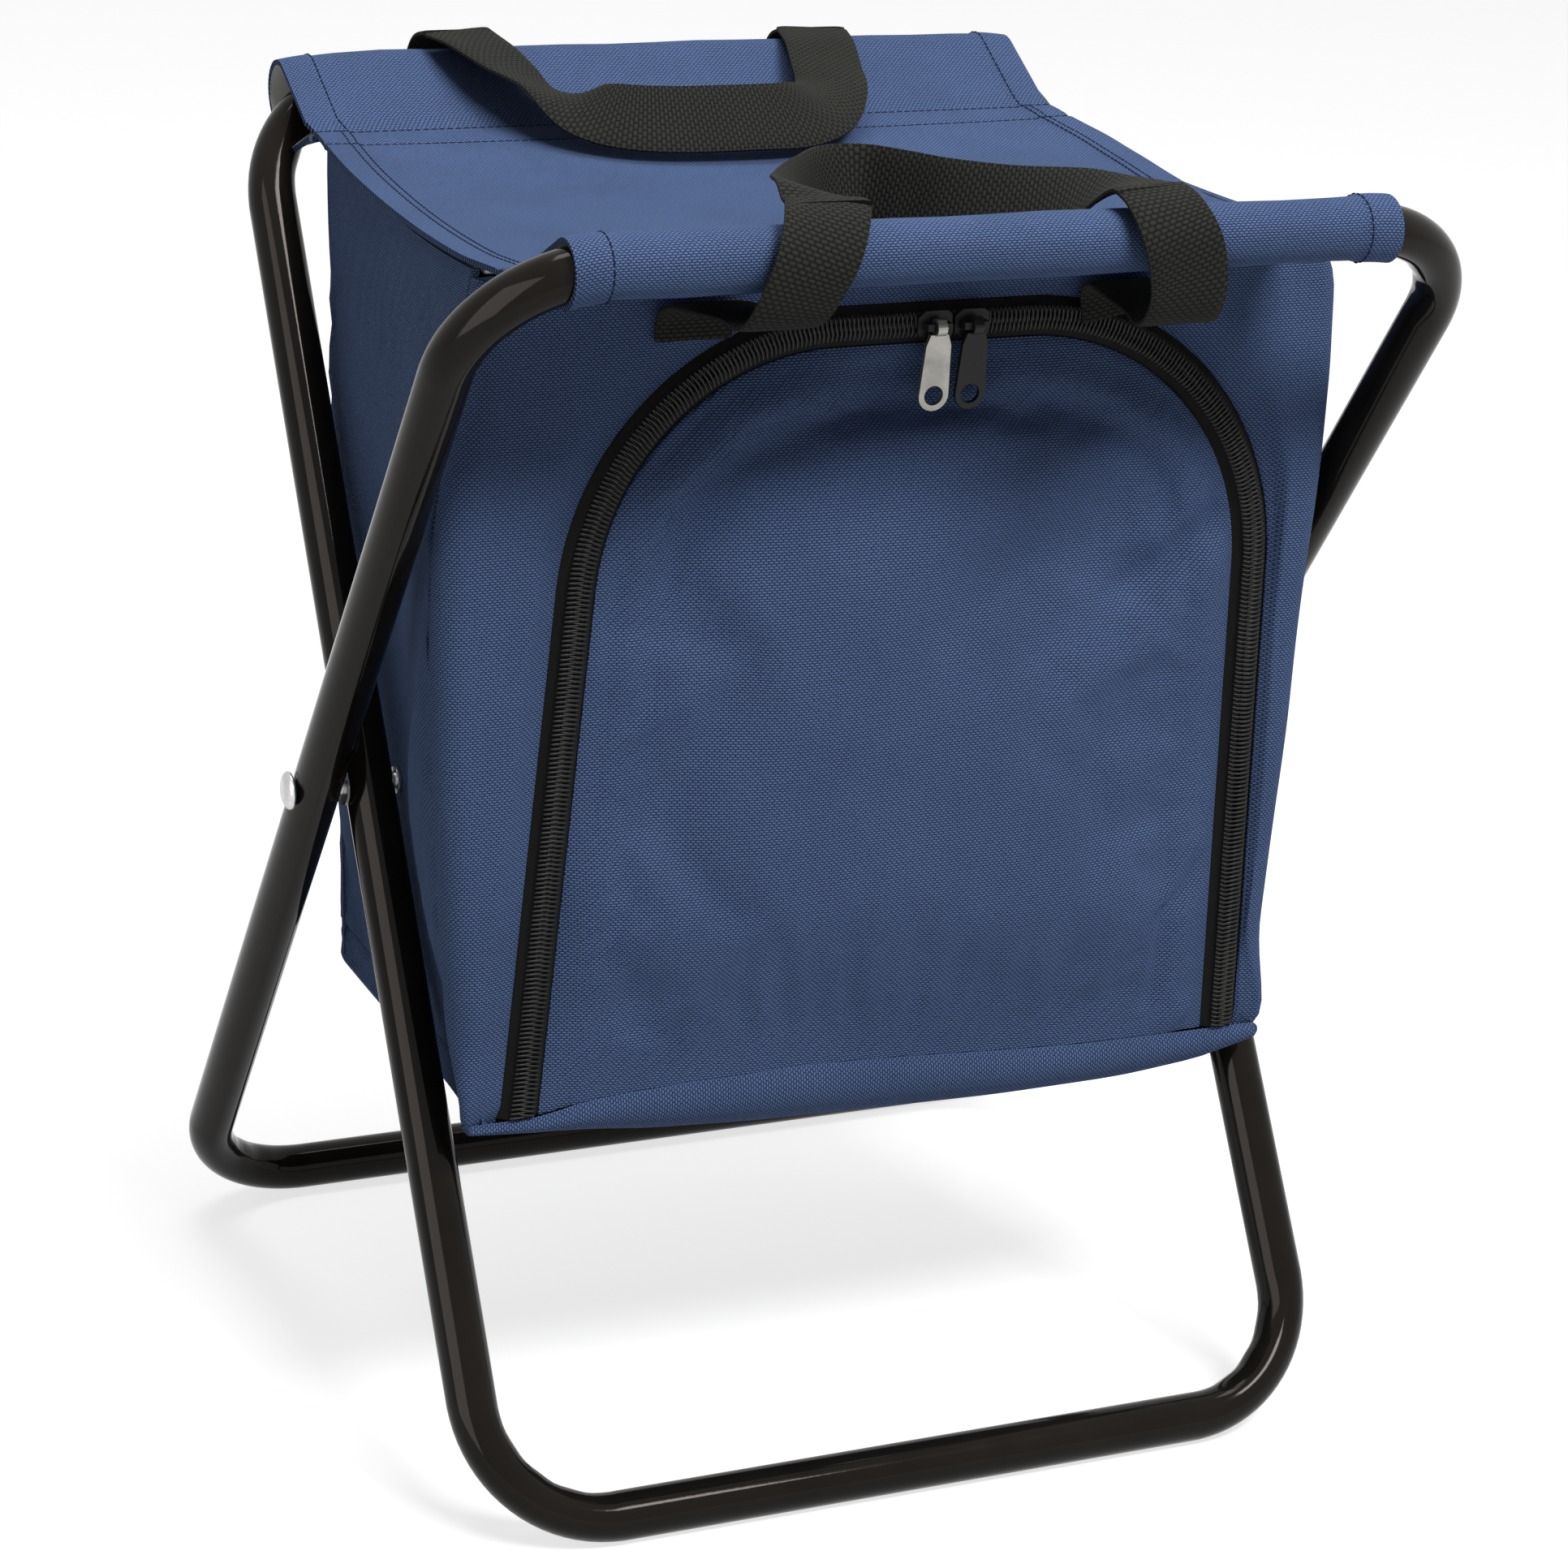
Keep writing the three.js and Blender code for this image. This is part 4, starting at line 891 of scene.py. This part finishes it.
def wrap_grid():
    """The wrap's outer face, row after row round the U, and what each row is part of."""
    low_rows = np.array([0, 3, 5.6, 7.4, 8.4, 9, 9.6, 10.6, 12.4, 15.5]) / SIDE_HEIGHT  # close at the seam
    side_v = np.concatenate([low_rows, np.linspace(0.076, 1, 32)])
    corner_a, bottom_u = np.linspace(0, 1, 9)[1:-1], np.linspace(0, 1, 40)
    kinds = [("side", -1, v) for v in side_v[::-1]] + [("corner", -1, a) for a in corner_a]
    kinds += [("bottom", 0, u) for u in bottom_u]
    kinds += [("corner", 1, a) for a in corner_a[::-1]] + [("side", 1, v) for v in side_v]
    roll, spread = np.linspace(0, 1, 9) * math.pi / 2, np.linspace(0, 1, 34)[1:-1]
    grid = []
    for kind, sign, share in kinds:
        on_bottom = float(eased(0, 1, {"side": 0.0, "corner": share, "bottom": 1.0}[kind]))
        level = mix(*SIDE_LEVELS, share) if kind == "side" else LIP_LEVEL
        start = front_y(level) + mix(float(panel_roll(level - FLAP_SEAM_Z)), 0.0, on_bottom)
        stop = back_y(level) - 0.6
        turn = mix(SIDE_TURN, LIP_RUN, on_bottom)
        lip = roll - LIP_HOLLOW * on_bottom * (1 - roll / roll[-1])
        y_line = np.concatenate([
            start + turn * (1 - np.cos(lip)), mix(start + turn, stop - BACK_TURN, spread),
            stop - BACK_TURN + BACK_TURN * np.sin(roll),
        ])
        round_lip = (1 - np.sin(lip)) / (1 - math.sin(lip[0]))
        rise = mix(lip_rise(y_line), np.concatenate([round_lip, 0 * spread, 0 * roll]), on_bottom)
        side_in = np.concatenate([(1 - on_bottom) * SIDE_TURN * (1 - np.sin(roll)), 0 * spread, 0 * roll])
        back_in = np.concatenate([0 * roll, 0 * spread, BACK_TURN * (1 - np.cos(roll))])
        grid.append([wrap_point(kind, sign, share, *at) for at in zip(y_line, rise, side_in, back_in)])
    return np.array(grid, float), kinds


def make_wrap():
    grid, kinds = wrap_grid()
    normals = facing(grid, (5, 20), (-1, 0, 0))
    rows, columns = grid.shape[:2]
    x, y, z = np.moveaxis(grid, -1, 0)
    column_share, row_share = np.linspace(0, 1, columns), np.linspace(0, 1, rows)
    calm = np.outer(
        eased(0, 0.06, row_share) * eased(0, 0.06, 1 - row_share),
        eased(0, 0.22, column_share) * eased(0, 0.22, 1 - column_share),
    )
    on_side = np.array([kind == "side" for kind, _, _ in kinds])[:, None]
    above = z - foot_z(np.sign(x) * SIDE_FOOT_X, y, lip_rise(y))
    groove = np.exp(-(((above - BOTTOM_SEAM) / 1.3) ** 2)) * on_side
    soft = 0.9 * np.sin(y / 21.0 + z / 64.0) + 0.7 * np.sin(z / 31.0 - y / 40.0 + 1.0)
    outer = grid + normals * (calm * soft * on_side - 1.1 * groove)[..., None]
    behind_lip = np.where(on_side, WRAP_T, mix(0.4, WRAP_T, eased(-82, -45, y)))
    depth = np.minimum(mix(SEAM_T, WRAP_T, calm**0.5), behind_lip)
    inner = outer - normals * depth[..., None]
    walked = np.cumsum(np.linalg.norm(np.diff(grid, axis=1, prepend=grid[:, :1]), axis=-1), axis=1)
    cloth = np.stack([walked, grid_lengths(grid)[..., 1]], -1)
    wrap = make_cloth("bag_wrap", outer, inner, [NAVY_CLOTH, SILVER_FILM], cloth, turned=(10, 0))
    clear = np.abs(y) - np.abs(leg_line(z))  # the legs sweep over the rest as the stool folds
    cap = np.where(on_side, mix(0.7, 4.5, eased(13, 34, clear)), 2.5)
    loose = calm * (1 - 0.9 * groove) * on_side
    settle(wrap, np.tile(loose.ravel(), 2), pressure=0.5, slack=0.015, cap=np.tile(cap.ravel(), 2))
    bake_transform(wrap)
    nodes = [f"{side}_side_{layer}" for side in ("left", "right") for layer in ("panel", "foam", "lining")]
    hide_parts(*nodes, "bottom_panel", "bottom_foam", "bottom_lining")
    print("bag wrap", grid.shape, "lowest", z.min())


make_wrap()

# %% [markdown]
# Back wall and ceiling. The back of the bag is a padded panel seen only from behind, so it is a crowned grid whose
# edges turn in at the seams. The ceiling is the padding under the seat, seen when the flap is open, and its navy
# top shows beside the seat. It follows the seat at a small distance and thins out to its edges.

# %% Back wall and ceiling
BACK_HEIGHT, BACK_FOOT, BACK_HALF, BACK_T, BACK_CROWN = 274.0, 0.5, 133.0, 6.4, 2.5
CEILING_FRONT, CEILING_BACK, CEILING_LEVEL, CEILING_IN = -60.0, 78.0, 392.0, 3.6
CEILING_T, CEILING_EDGE_T = 5.4, 0.9


def edge_turn(distance, radius):
    """How far a padded face drops towards its seam, at a distance from that seam."""
    gap = 1 - np.clip(distance / radius, 0, 1)
    return radius * (1 - np.sqrt(1 - gap**2))


def make_back_wall():
    u, v = np.meshgrid(np.linspace(-1, 1, 48), np.linspace(0, 1, 50))
    h = BACK_FOOT + (BACK_HEIGHT - BACK_FOOT) * v
    half = BACK_HALF - edge_turn(h, BACK_CORNER)
    x = half * np.sign(u) * np.abs(u) ** 0.9
    near = np.minimum(half - np.abs(x), np.minimum(h - BACK_FOOT, BACK_HEIGHT - h + BACK_TURN))
    crown = BACK_CROWN * (1 - u**4) * np.sin(math.pi * np.clip(v, 0, 1)) ** 0.6
    face = crown - edge_turn(near, BACK_TURN)
    depth = mix(SEAM_T, BACK_T, eased(0, 22, near))
    wall = make_cloth(
        "bag_back_wall", on_back(x, h, face), on_back(x, h, face - depth), [NAVY_CLOTH, SILVER_FILM],
        np.stack([x, h], -1),
    )
    settle(wall, np.tile(eased(3, 22, near).ravel(), 2), pressure=0.5, slack=0.02, cap=3.0)
    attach(wall, "bag_back")
    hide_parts("back_panel", "back_foam", "back_lining")


def make_ceiling():
    u, v = np.meshgrid(np.linspace(0, 1, 44), np.linspace(0, 1, 30))
    y = mix(CEILING_FRONT, CEILING_BACK, v)
    left, right_end = (bag_half(sign, y, CEILING_LEVEL) - CEILING_IN for sign in (-1, 1))
    x = mix(-left, right_end, u)
    near = np.minimum(np.minimum(x + left, right_end - x), np.minimum(y - CEILING_FRONT, CEILING_BACK - y))
    y = y - 8 * eased(98, 126, np.abs(x)) * (1 - v) ** 2  # its front corners reach forward
    top = seat_top(x, y, BAG_TOP_HALF) - CEILING_GAP
    quilting = 0.5 * np.sin(x / 12.0) * np.sin(y / 15.0) * eased(4, 25, near)
    depth = mix(CEILING_EDGE_T, CEILING_T, eased(0, 14, near)) + quilting
    lower = np.stack([x, y, top - depth], -1)
    ceiling = make_cloth(
        "bag_ceiling", lower, np.stack([x, y, top], -1), [SILVER_FILM, NAVY_CLOTH], np.stack([x, y], -1)
    )
    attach(ceiling, "bag_core")
    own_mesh(ceiling)
    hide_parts("top_foam", "top_lining")


make_back_wall()
make_ceiling()
print("back wall", BACK_T, "mm and ceiling", CEILING_T, "mm thick as drawn")

# %% [markdown]
# The arch of the zip. The front panel, the flap, the tapes and the coils all follow one line: up the left side
# with a small lean, round a wide corner, along the top, round again and down. Offsets from that line give every
# edge, so it is written once.

# %% Arch line
ARCH_LEFT, ARCH_RIGHT, ARCH_TOP, ARCH_R = -122.0, 128.0, 247.2, 85.0
ARCH_LEAN = math.radians(5.3)
ARCH_CENTRE = ARCH_TOP - ARCH_R
SLOT_HALF, FABRIC_DIP = 6.5, -3.2  # the cloth edges lie behind the ridge that the zip makes


def arch_line(offset, runs=26, corner=24, top=12, foot=0.3):
    """Points of the arch moved outwards by an offset, as across and up, from its left foot to its right."""
    left_x = ARCH_LEFT + ARCH_CENTRE * math.tan(ARCH_LEAN) + ARCH_R / math.cos(ARCH_LEAN)
    right_x, radius = ARCH_RIGHT - ARCH_R, ARCH_R + offset
    rise = np.linspace(foot, ARCH_CENTRE, runs + 1)[:-1]
    left = np.stack([ARCH_LEFT + rise * math.tan(ARCH_LEAN) - offset / math.cos(ARCH_LEAN), rise], -1)
    turn = np.linspace(math.pi - ARCH_LEAN, math.pi / 2, corner + 1)[:-1]
    first = np.stack([left_x + radius * np.cos(turn), ARCH_CENTRE + radius * np.sin(turn)], -1)
    across = np.linspace(left_x, right_x, top + 1)[:-1]
    flat = np.stack([across, np.full(top, ARCH_TOP + offset)], -1)
    turn = np.linspace(math.pi / 2, 0, corner + 1)[:-1]
    second = np.stack([right_x + radius * np.cos(turn), ARCH_CENTRE + radius * np.sin(turn)], -1)
    fall = np.linspace(ARCH_CENTRE, foot, runs + 1)
    last = np.stack([np.full(runs + 1, ARCH_RIGHT + offset), fall], -1)
    return np.concatenate([left, first, flat, second, last])


print("zip length", steps_of(arch_line(0)).sum())

# %% [markdown]
# Front panel. A horseshoe of cloth round the flap: its inner edge is sewn to the zip tape, its outer edge rolls
# round the bag's corners. A boolean could cut the arch out of a plate, but a grid that runs along the arch keeps
# clean faces and lets the edge by the zip sink and the corners roll.

# %% Front panel
PANEL_FOOT, PANEL_SHOULDER, PANEL_SIDE_TOP, PANEL_TOP = -3.0, 205.0, 267.0, 267.8
PANEL_T, SPOKES = 1.3, 16  # its thickness, and the points from the zip out to where it rolls round the corner


def sunk(gap, reach):
    """How far cloth lies behind the zip's ridge at a distance from its edge, with the edge itself turned in."""
    return FABRIC_DIP * (1 - eased(0, reach, gap)) - 0.7 * (1 - eased(0, 1.2, gap))


def panel_rim(sign, runs, corner):
    up = np.concatenate([
        np.linspace(PANEL_FOOT, PANEL_SHOULDER, runs + 1)[:-1],
        np.linspace(PANEL_SHOULDER, PANEL_SIDE_TOP, corner + 1),
    ])
    across = FRONT_EDGE[sign](up) - panel_roll(up) - 0.6 * edge_turn(up, FRONT_CORNER)
    return np.stack([sign * across, up], -1)


def make_front_panel(runs=40, corner=24, top=12):
    edge = arch_line(SLOT_HALF, runs, corner, top, foot=PANEL_FOOT)
    half_corner = corner // 2
    left, right_rim = panel_rim(-1, runs, half_corner), panel_rim(1, runs, half_corner)
    top_left, top_right = edge[runs + corner, 0], edge[runs + corner + top, 0]
    across = np.concatenate([
        np.linspace(left[-1, 0], top_left, half_corner + 1)[1:-1], np.linspace(top_left, top_right, top + 1),
        np.linspace(top_right, right_rim[-1, 0], half_corner + 1)[1:-1],
    ])
    top_edge = np.stack([across, PANEL_TOP + (across / 140) ** 2], -1)
    rim_line = np.concatenate([left, top_edge, right_rim[::-1]])
    on_side = np.ones(len(edge))
    on_side[len(left) : len(edge) - len(left)] = 0
    s = np.linspace(0, 1, SPOKES) ** 1.25
    flat = edge[:, None] + (rim_line - edge)[:, None] * s[None, :, None]
    gap = np.linalg.norm(flat - edge[:, None], axis=-1)
    x, h = flat[..., 0], flat[..., 1]
    d = sunk(gap, 15)
    puff = 1.2 * np.sin(h / 37.0 + x / 60.0) + 0.5 * np.sin(h / 13.0 + 0.3 * np.sin(h / 50.0)) + 0.8
    d = d + puff * eased(4, 14, gap) * eased(0, 40, h) - 2.5 * (1 - eased(-3, 6, h))
    roll = np.linspace(0, 1, 8)[1:] * math.pi / 2
    sign, depth = np.sign(rim_line[:, 0]) * on_side, (on_side * panel_roll(rim_line[:, 1]))[:, None]
    roll_x = x[:, -1:] + sign[:, None] * depth * np.sin(roll)
    roll_h = h[:, -1:] + (1 - on_side)[:, None] * 1.5 * np.sin(roll)
    roll_d = d[:, -1:] - depth * (1 - np.cos(roll))
    arc = np.concatenate([np.zeros((len(edge), SPOKES)), depth * (roll - np.sin(roll))], 1)
    x, h, d = (np.concatenate(pair, 1) for pair in ((x, roll_x), (h, roll_h), (d, roll_d)))
    cloth = np.stack([x + sign[:, None] * arc, h], -1)
    outer = on_front(x, h, d)
    inner = outer - facing(outer, (10, 3), (0, -1, 0)) * PANEL_T
    panel = make_cloth(
        "bag_front_panel", outer, inner, [NAVY_CLOTH, SILVER_FILM], cloth, turned=(0, 14)
    )
    across, along = np.diff(cloth[:-1], axis=1), np.diff(cloth[:, :-1], axis=0)
    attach(panel, "bag_front")
    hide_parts("front_panel")


make_front_panel()

# %% [markdown]
# Flap. The padded door inside the arch. Its outline has four sides if the arch is split in the middle of its two
# corners, and filling those four sides evenly is called a Coons patch. Its edges sink to the zip, its middle is
# crowned by the foam, and its lower edge is sewn to the lip of the bag.

# %% Flap shape
def coons(bottom, top, left, right_side):
    u = np.linspace(0, 1, len(bottom))[None, :, None]
    v = np.linspace(0, 1, len(left))[:, None, None]
    ruled = (1 - v) * bottom[None] + v * top[None] + (1 - u) * left[:, None] + u * right_side[:, None]
    corners = (1 - v) * ((1 - u) * bottom[0] + u * bottom[-1]) + v * ((1 - u) * top[0] + u * top[-1])
    return ruled - corners


FLAP_T, FLAP_CROWN, FLAP_HEIGHT = 6.6, 3.0, 252.0
FLAP_FOLDS = [  # a line on the flap, the width of the fold along it and its depth
    ([(-88, 160), (-85, 170), (-53, 200), (-11, 225), (12, 232)], 14, -4.6),
    ([(118, 181), (100, 169), (84, 157)], 7, -3.6), ([(84, 157), (50, 141), (30, 136)], 13, -3.6),
    ([(118, 163), (85, 138), (60, 124)], 13, 2.4), ([(-86, 128), (-78, 112)], 24, -3.4),
    ([(-95, 66), (-9, 57), (80, 49)], 24, 2.8), ([(117, 60), (104, 44), (100, 15)], 4.5, -2.4),
    ([(113, 9), (108, 3)], 4, 2.2), ([(0, 226), (62, 222)], 15, -2.6),
]


def distance_to(points, x, h):
    """Distance from each place on the cloth to the nearest of some points."""
    return np.min([np.hypot(x - at[0], h - at[1]) for at in points], axis=0)


def fold(x, h, line, width, depth):
    """A soft valley or ridge along a line on the cloth."""
    away = distance_to(resample(np.array(line, float), 40), x, h)
    return depth * np.exp(-((away / width) ** 2))


def make_flap(runs=40, corner=40, top=20, steps=72):
    edge = arch_line(-SLOT_HALF, runs, corner, top)
    first, last = runs + corner // 2, len(edge) - 1 - runs - corner // 2
    left, over = resample(edge[: first + 1], steps), resample(edge[first : last + 1], steps)
    right_side = resample(edge[last:][::-1], steps)
    across = np.linspace(edge[0, 0], edge[-1, 0], steps)
    rise = SEAM_RISE(across)
    rise = rise - np.linspace(rise[0], rise[-1], steps)
    flat = coons(np.stack([across, edge[0, 1] + rise], -1), over, left, right_side)
    x, h = flat[..., 0], flat[..., 1]
    gap = distance_to(edge, x, h)
    gap[:, 0], gap[:, -1], gap[-1, :] = 0, 0, 0
    over_seam = h - SEAM_RISE(x)
    crown = FLAP_CROWN * np.sin(math.pi * np.clip(h / FLAP_HEIGHT, 0, 1)) ** 0.8 * eased(0, 90, gap)
    edge_puff = 1.4 * np.exp(-(((gap - 12) / 7) ** 2)) * eased(90, 150, h)
    d = sunk(gap, 14) + crown + edge_puff
    folds = sum(fold(x, h, *each) for each in FLAP_FOLDS)
    d = d + folds * eased(0, 8, gap) * eased(0, 6, over_seam)
    d = d - 2.2 * (1 - eased(0, 26, over_seam)) * eased(0, 10, gap)
    depth = mix(1.4, FLAP_T, eased(2, 18, np.minimum(gap, over_seam + 2)))
    flap = make_cloth(
        "flap_pad", on_front(x, h, d), on_front(x, h, d - depth), [NAVY_CLOTH, SILVER_FILM], np.stack([x, h], -1)
    )
    loose = eased(4, 24, gap) * eased(3, 24, over_seam)
    settle(flap, np.tile(loose.ravel(), 2), pressure=0.4, slack=0.03, cap=7.0)
    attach(flap, "flap")
    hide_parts("flap_shell", "flap_foam", "flap_lining")
    print("flap", x.shape, "points, proud by up to", d.max())


make_flap()

# %% [markdown]
# Zip. Each half is a woven tape with a nylon coil along its edge. The coil is a wire wound in flat turns; the two
# halves are wound half a turn apart, so they mesh down the middle. A row of blocks would be quicker, but the turns
# catch the light as the real ones do.

# %% Zip
COIL_PITCH, COIL_WIRE, COIL_DEPTH = 1.5, 0.33, -0.95
COIL_MIDDLE, COIL_REACH, COIL_RISE = 1.4, 2.6, 0.52  # where a turn lies across the zip, and half its size
TURN_STEPS, TAPE_T = 9, 0.6
TAPE_ROWS = np.array([1.0, 2.0, 3.4, 5.0, 6.4, 8.0, 10.5])  # from the middle of the zip
TAPE_DEPTH = np.array([-1.75, -1.7, -2.0, -3.2, -4.5, -5.3, -5.6])[:, None]


def sweep(line, radius, sides):
    """A round section carried along a line without twisting."""
    along = unit(np.gradient(line, axis=0))
    side = np.cross(along[0], [0.3, 0.5, 0.8])
    rings, around = [], circle(sides)
    for point, ahead in zip(line, along):
        side = side - ahead * (side @ ahead)
        side = side / np.linalg.norm(side)
        ring = np.outer(np.cos(around), side) + np.outer(np.sin(around), np.cross(ahead, side))
        rings.append(point + radius * ring)
    return np.concatenate(rings), ring_faces(len(line), sides, False)


def zip_half(name, side, body):
    lines = np.array([arch_line(side * row, 40, 40, 20) for row in TAPE_ROWS])
    x, h = np.moveaxis(lines, -1, 0)
    length = steps_of(lines[0]).sum()
    outer, inner = on_front(x, h, TAPE_DEPTH), on_front(x, h, TAPE_DEPTH - TAPE_T)
    tape = make_cloth(f"zip_tape_{name}_side", outer, inner, [ZIP_TAPE])
    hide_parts(f"zip_tape_{name}")

    middle = resample(arch_line(0, 80, 90, 30, foot=1.0), 4000)
    ahead = unit(np.gradient(middle, axis=0))
    track = np.stack([*middle.T, -ahead[:, 1], ahead[:, 0]])  # along the zip, and the way out from it
    turns = int(length / COIL_PITCH)
    share = np.linspace(0, 1, turns * TURN_STEPS)
    phase = 2 * math.pi * turns * share + (math.pi if side < 0 else 0)
    reach = COIL_MIDDLE + COIL_REACH * np.cos(phase)
    spot = np.linspace(0, len(middle) - 1, len(share))
    x, h, out_x, out_h = (np.interp(spot, np.arange(len(middle)), values) for values in track)
    line = on_front(
        x + out_x * (side * reach), h + out_h * (side * reach), COIL_DEPTH + COIL_RISE * np.sin(phase)
    )
    points, faces = sweep(line, COIL_WIRE, 5)
    coil = make_piece(f"zip_coil_{name}_side", points, faces, [NYLON], sharp=80)
    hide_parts(f"zip_coil_{name}")
    for piece in (tape, coil):
        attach(piece, body)
    print(coil.name, turns, "turns")


zip_half("panel", 1, "bag_front")
zip_half("flap", -1, "flap")

# %% [markdown]
# Sliders and pulls. These small castings are right in the CAD model, so they stay; a bevel softens their cut
# edges and the metal finishes do the rest. One pull is bare gunmetal, the other is blackened.

# %% Sliders and pulls
for side, tab_finish in (("left", GUNMETAL), ("right", BLACKENED)):
    for node_name, finish in ((f"{side}_zip_slider", BLACKENED), (f"{side}_zip_pull", tab_finish)):
        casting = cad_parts[node_name]
        casting.data.materials.clear()
        casting.data.materials.append(finish)
        bevel = casting.modifiers.new("soft edges", "BEVEL")
        bevel.width = 0.25 * MM
        bevel.segments = 2
        bevel.limit_method = "ANGLE"
        bevel.angle_limit = math.radians(40)
print("sliders and pulls kept from the CAD model")

# %% [markdown]
# Webbing. Each handle is a length of webbing: its ends are sewn under the seat, go under the rail and up round
# it, and the loop between them turns on edge and lies back over the seat. Cloth simulation would lose the thin
# edges, so the webbing is a band carried along a drawn line, thinner at its woven edges.

# %% Webbing helper
WEBBING_WIDTH, WEBBING_T = 25.0, 1.9
BAND = np.array([-1, -0.94, -0.8, -0.5, 0, 0.5, 0.8, 0.94, 1])


def make_band(name, middle, across, body, node):
    along = unit(np.gradient(middle, axis=0))
    across = unit(across - along * (across * along).sum(1, keepdims=True))
    face = np.cross(along, across)
    thick = WEBBING_T / 2 * (1 - 0.55 * np.abs(BAND) ** 10)
    flat = middle[:, None] + across[:, None] * (BAND * WEBBING_WIDTH / 2)[None, :, None]
    lift = face[:, None] * thick[None, :, None]
    v = walk(steps_of(middle))
    cloth = np.stack(np.meshgrid(BAND * WEBBING_WIDTH / 2, v), -1)
    band = make_cloth(name, flat + lift, flat - lift, [WEBBING], cloth, sharp=70)
    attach(band, body)
    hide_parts(node)
    print(name, round(v[-1]), "mm of webbing")
    return band


# %% Straps round the rails
ENDS, SIDES = {-1: "front", 1: "rear"}, {-1: "left", 1: "right"}
SEWN_Y = {-1: 77.0, 1: 95.0}
SEWN_LINE = np.array([[0, 373.0], [0.8, 382.0], [8, 386.0]])  # out from there, and up
STRAPS = {  # end, side: radius over the rail, slack under it, and x at shares of its length from the sewn end
    (-1, -1): (15.4, 5.0, [(0, -72), (0.65, -72), (0.75, -69), (0.83, -65.5), (1, -57)]),
    (-1, 1): (15.4, 10.5, [(0, 72), (0.6, 57), (0.72, 56), (0.82, 52), (0.88, 49), (1, 47)]),
    (1, -1): (15.6, 4.0, [(0, -76), (1, -74)]),
    (1, 1): (13.0, 4.0, [(0, 57), (1, 57)]),
}


def make_strap(end, side, body):
    rail_y, rail_z = (float(v) for v in rail_centre(RAILS[end], 0))
    rail_y = abs(rail_y)
    over, droop, sway = STRAPS[end, side]
    turns = np.linspace(-0.6, 0.5, 26) * math.pi
    slack = over + droop * eased(-0.1 * math.pi, -0.5 * math.pi, turns)
    wrap = np.stack([rail_y + slack * np.cos(turns), rail_z + slack * np.sin(turns)], -1)
    line = resample(np.concatenate([SEWN_LINE + [SEWN_Y[end], 0], wrap]), 60)
    for _ in range(5):  # each pass rounds the corners a little more
        line[1:-1] = 0.5 * line[1:-1] + 0.25 * (line[:-2] + line[2:])
    x = soft_line(*sway, spread=0.08)(np.linspace(0, 1, len(line)))
    middle = np.stack([x, end * line[:, 0], line[:, 1]], -1)
    make_band(
        f"{ENDS[end]}_strap_{SIDES[side]}", middle, np.tile([1.0, 0, 0], (len(line), 1)), body,
        f"{ENDS[end]}_handle_{SIDES[side]}_strap",
    )


for side in (-1, 1):
    make_strap(-1, side, "outer_frame")
    make_strap(1, side, "inner_frame")

# %% [markdown]
# Handle loops. A loop lies where it was dropped, so it has no formula: a few stations say where its middle is and
# which way its upper edge points, and a smooth curve through them carries the webbing. It leaves the rail flat,
# turns on edge, and bows back over the seat.

# %% Handle loops
LOOPS = {  # middle of the webbing, then the direction of its edge
    -1: [
        (-57, -137, 427.5, -1, 0, 0), (-56.8, -131, 427.6, -1, 0, 0.03), (-55.5, -122, 427.5, -0.93, 0.05, 0.35),
        (-51.5, -105, 420, -0.62, 0.25, 0.74), (-40, -81, 415.5, -0.15, 0.36, 0.92),
        (-24, -60, 413.5, 0, 0.36, 0.93), (-10, -54.5, 412.5, 0, 0.38, 0.92), (0, -66, 412.5, 0.1, 0.37, 0.92),
        (8, -80, 413, 0.2, 0.36, 0.91), (22, -98, 415, 0.4, 0.38, 0.83), (34.5, -113.5, 420.5, 0.7, 0.42, 0.55),
        (42.5, -124.5, 425.2, 0.95, 0.15, 0.2), (46, -132, 427.2, 1, 0.02, 0.02), (47, -137, 427.5, 1, 0, 0),
    ],
    1: [
        (-74, 133, 424.4, 1, 0, 0), (-70.5, 118, 422.5, 0.97, 0.1, -0.1), (-65.5, 104, 418, 0.85, 0.45, -0.12),
        (-58, 91, 412.5, 0.56, 0.81, -0.12), (-46, 74, 409, 0.12, 0.80, 0.55), (-27, 64.5, 407.8, 0, 0.69, 0.72),
        (5, 62, 407.8, 0, 0.69, 0.72), (22, 64, 407.8, -0.1, 0.69, 0.72), (36, 73, 408.5, -0.55, 0.65, 0.5),
        (46, 90, 411.5, -0.97, 0.2, 0.05), (50, 104, 415.5, -1, 0, 0), (54, 119, 420, -1, 0, 0),
        (57, 133, 421.8, -1, 0, 0),
    ],
}


def through(stations, count):
    """A smooth curve through stations, whose slope at each one follows its neighbours."""
    keys = np.array(stations, float)
    keys = np.concatenate([[2 * keys[0] - keys[1]], keys, [2 * keys[-1] - keys[-2]]])
    t = np.linspace(0, len(stations) - 1 - 1e-6, count)
    k, f = t.astype(int), (t % 1)[:, None]
    a, b, c, d = (keys[k + n] for n in range(4))
    return 0.5 * (2 * b + (c - a) * f + (2 * a - 5 * b + 4 * c - d) * f**2 + (3 * b - a - 3 * c + d) * f**3)


def make_handle(end, body):
    curve = through(LOOPS[end], 97)
    name = ENDS[end]
    handle = make_band(f"{name}_handle", curve[:, :3], curve[:, 3:], body, f"{name}_handle_loop")
    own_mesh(handle)


make_handle(-1, "front_handle")
make_handle(1, "rear_handle")
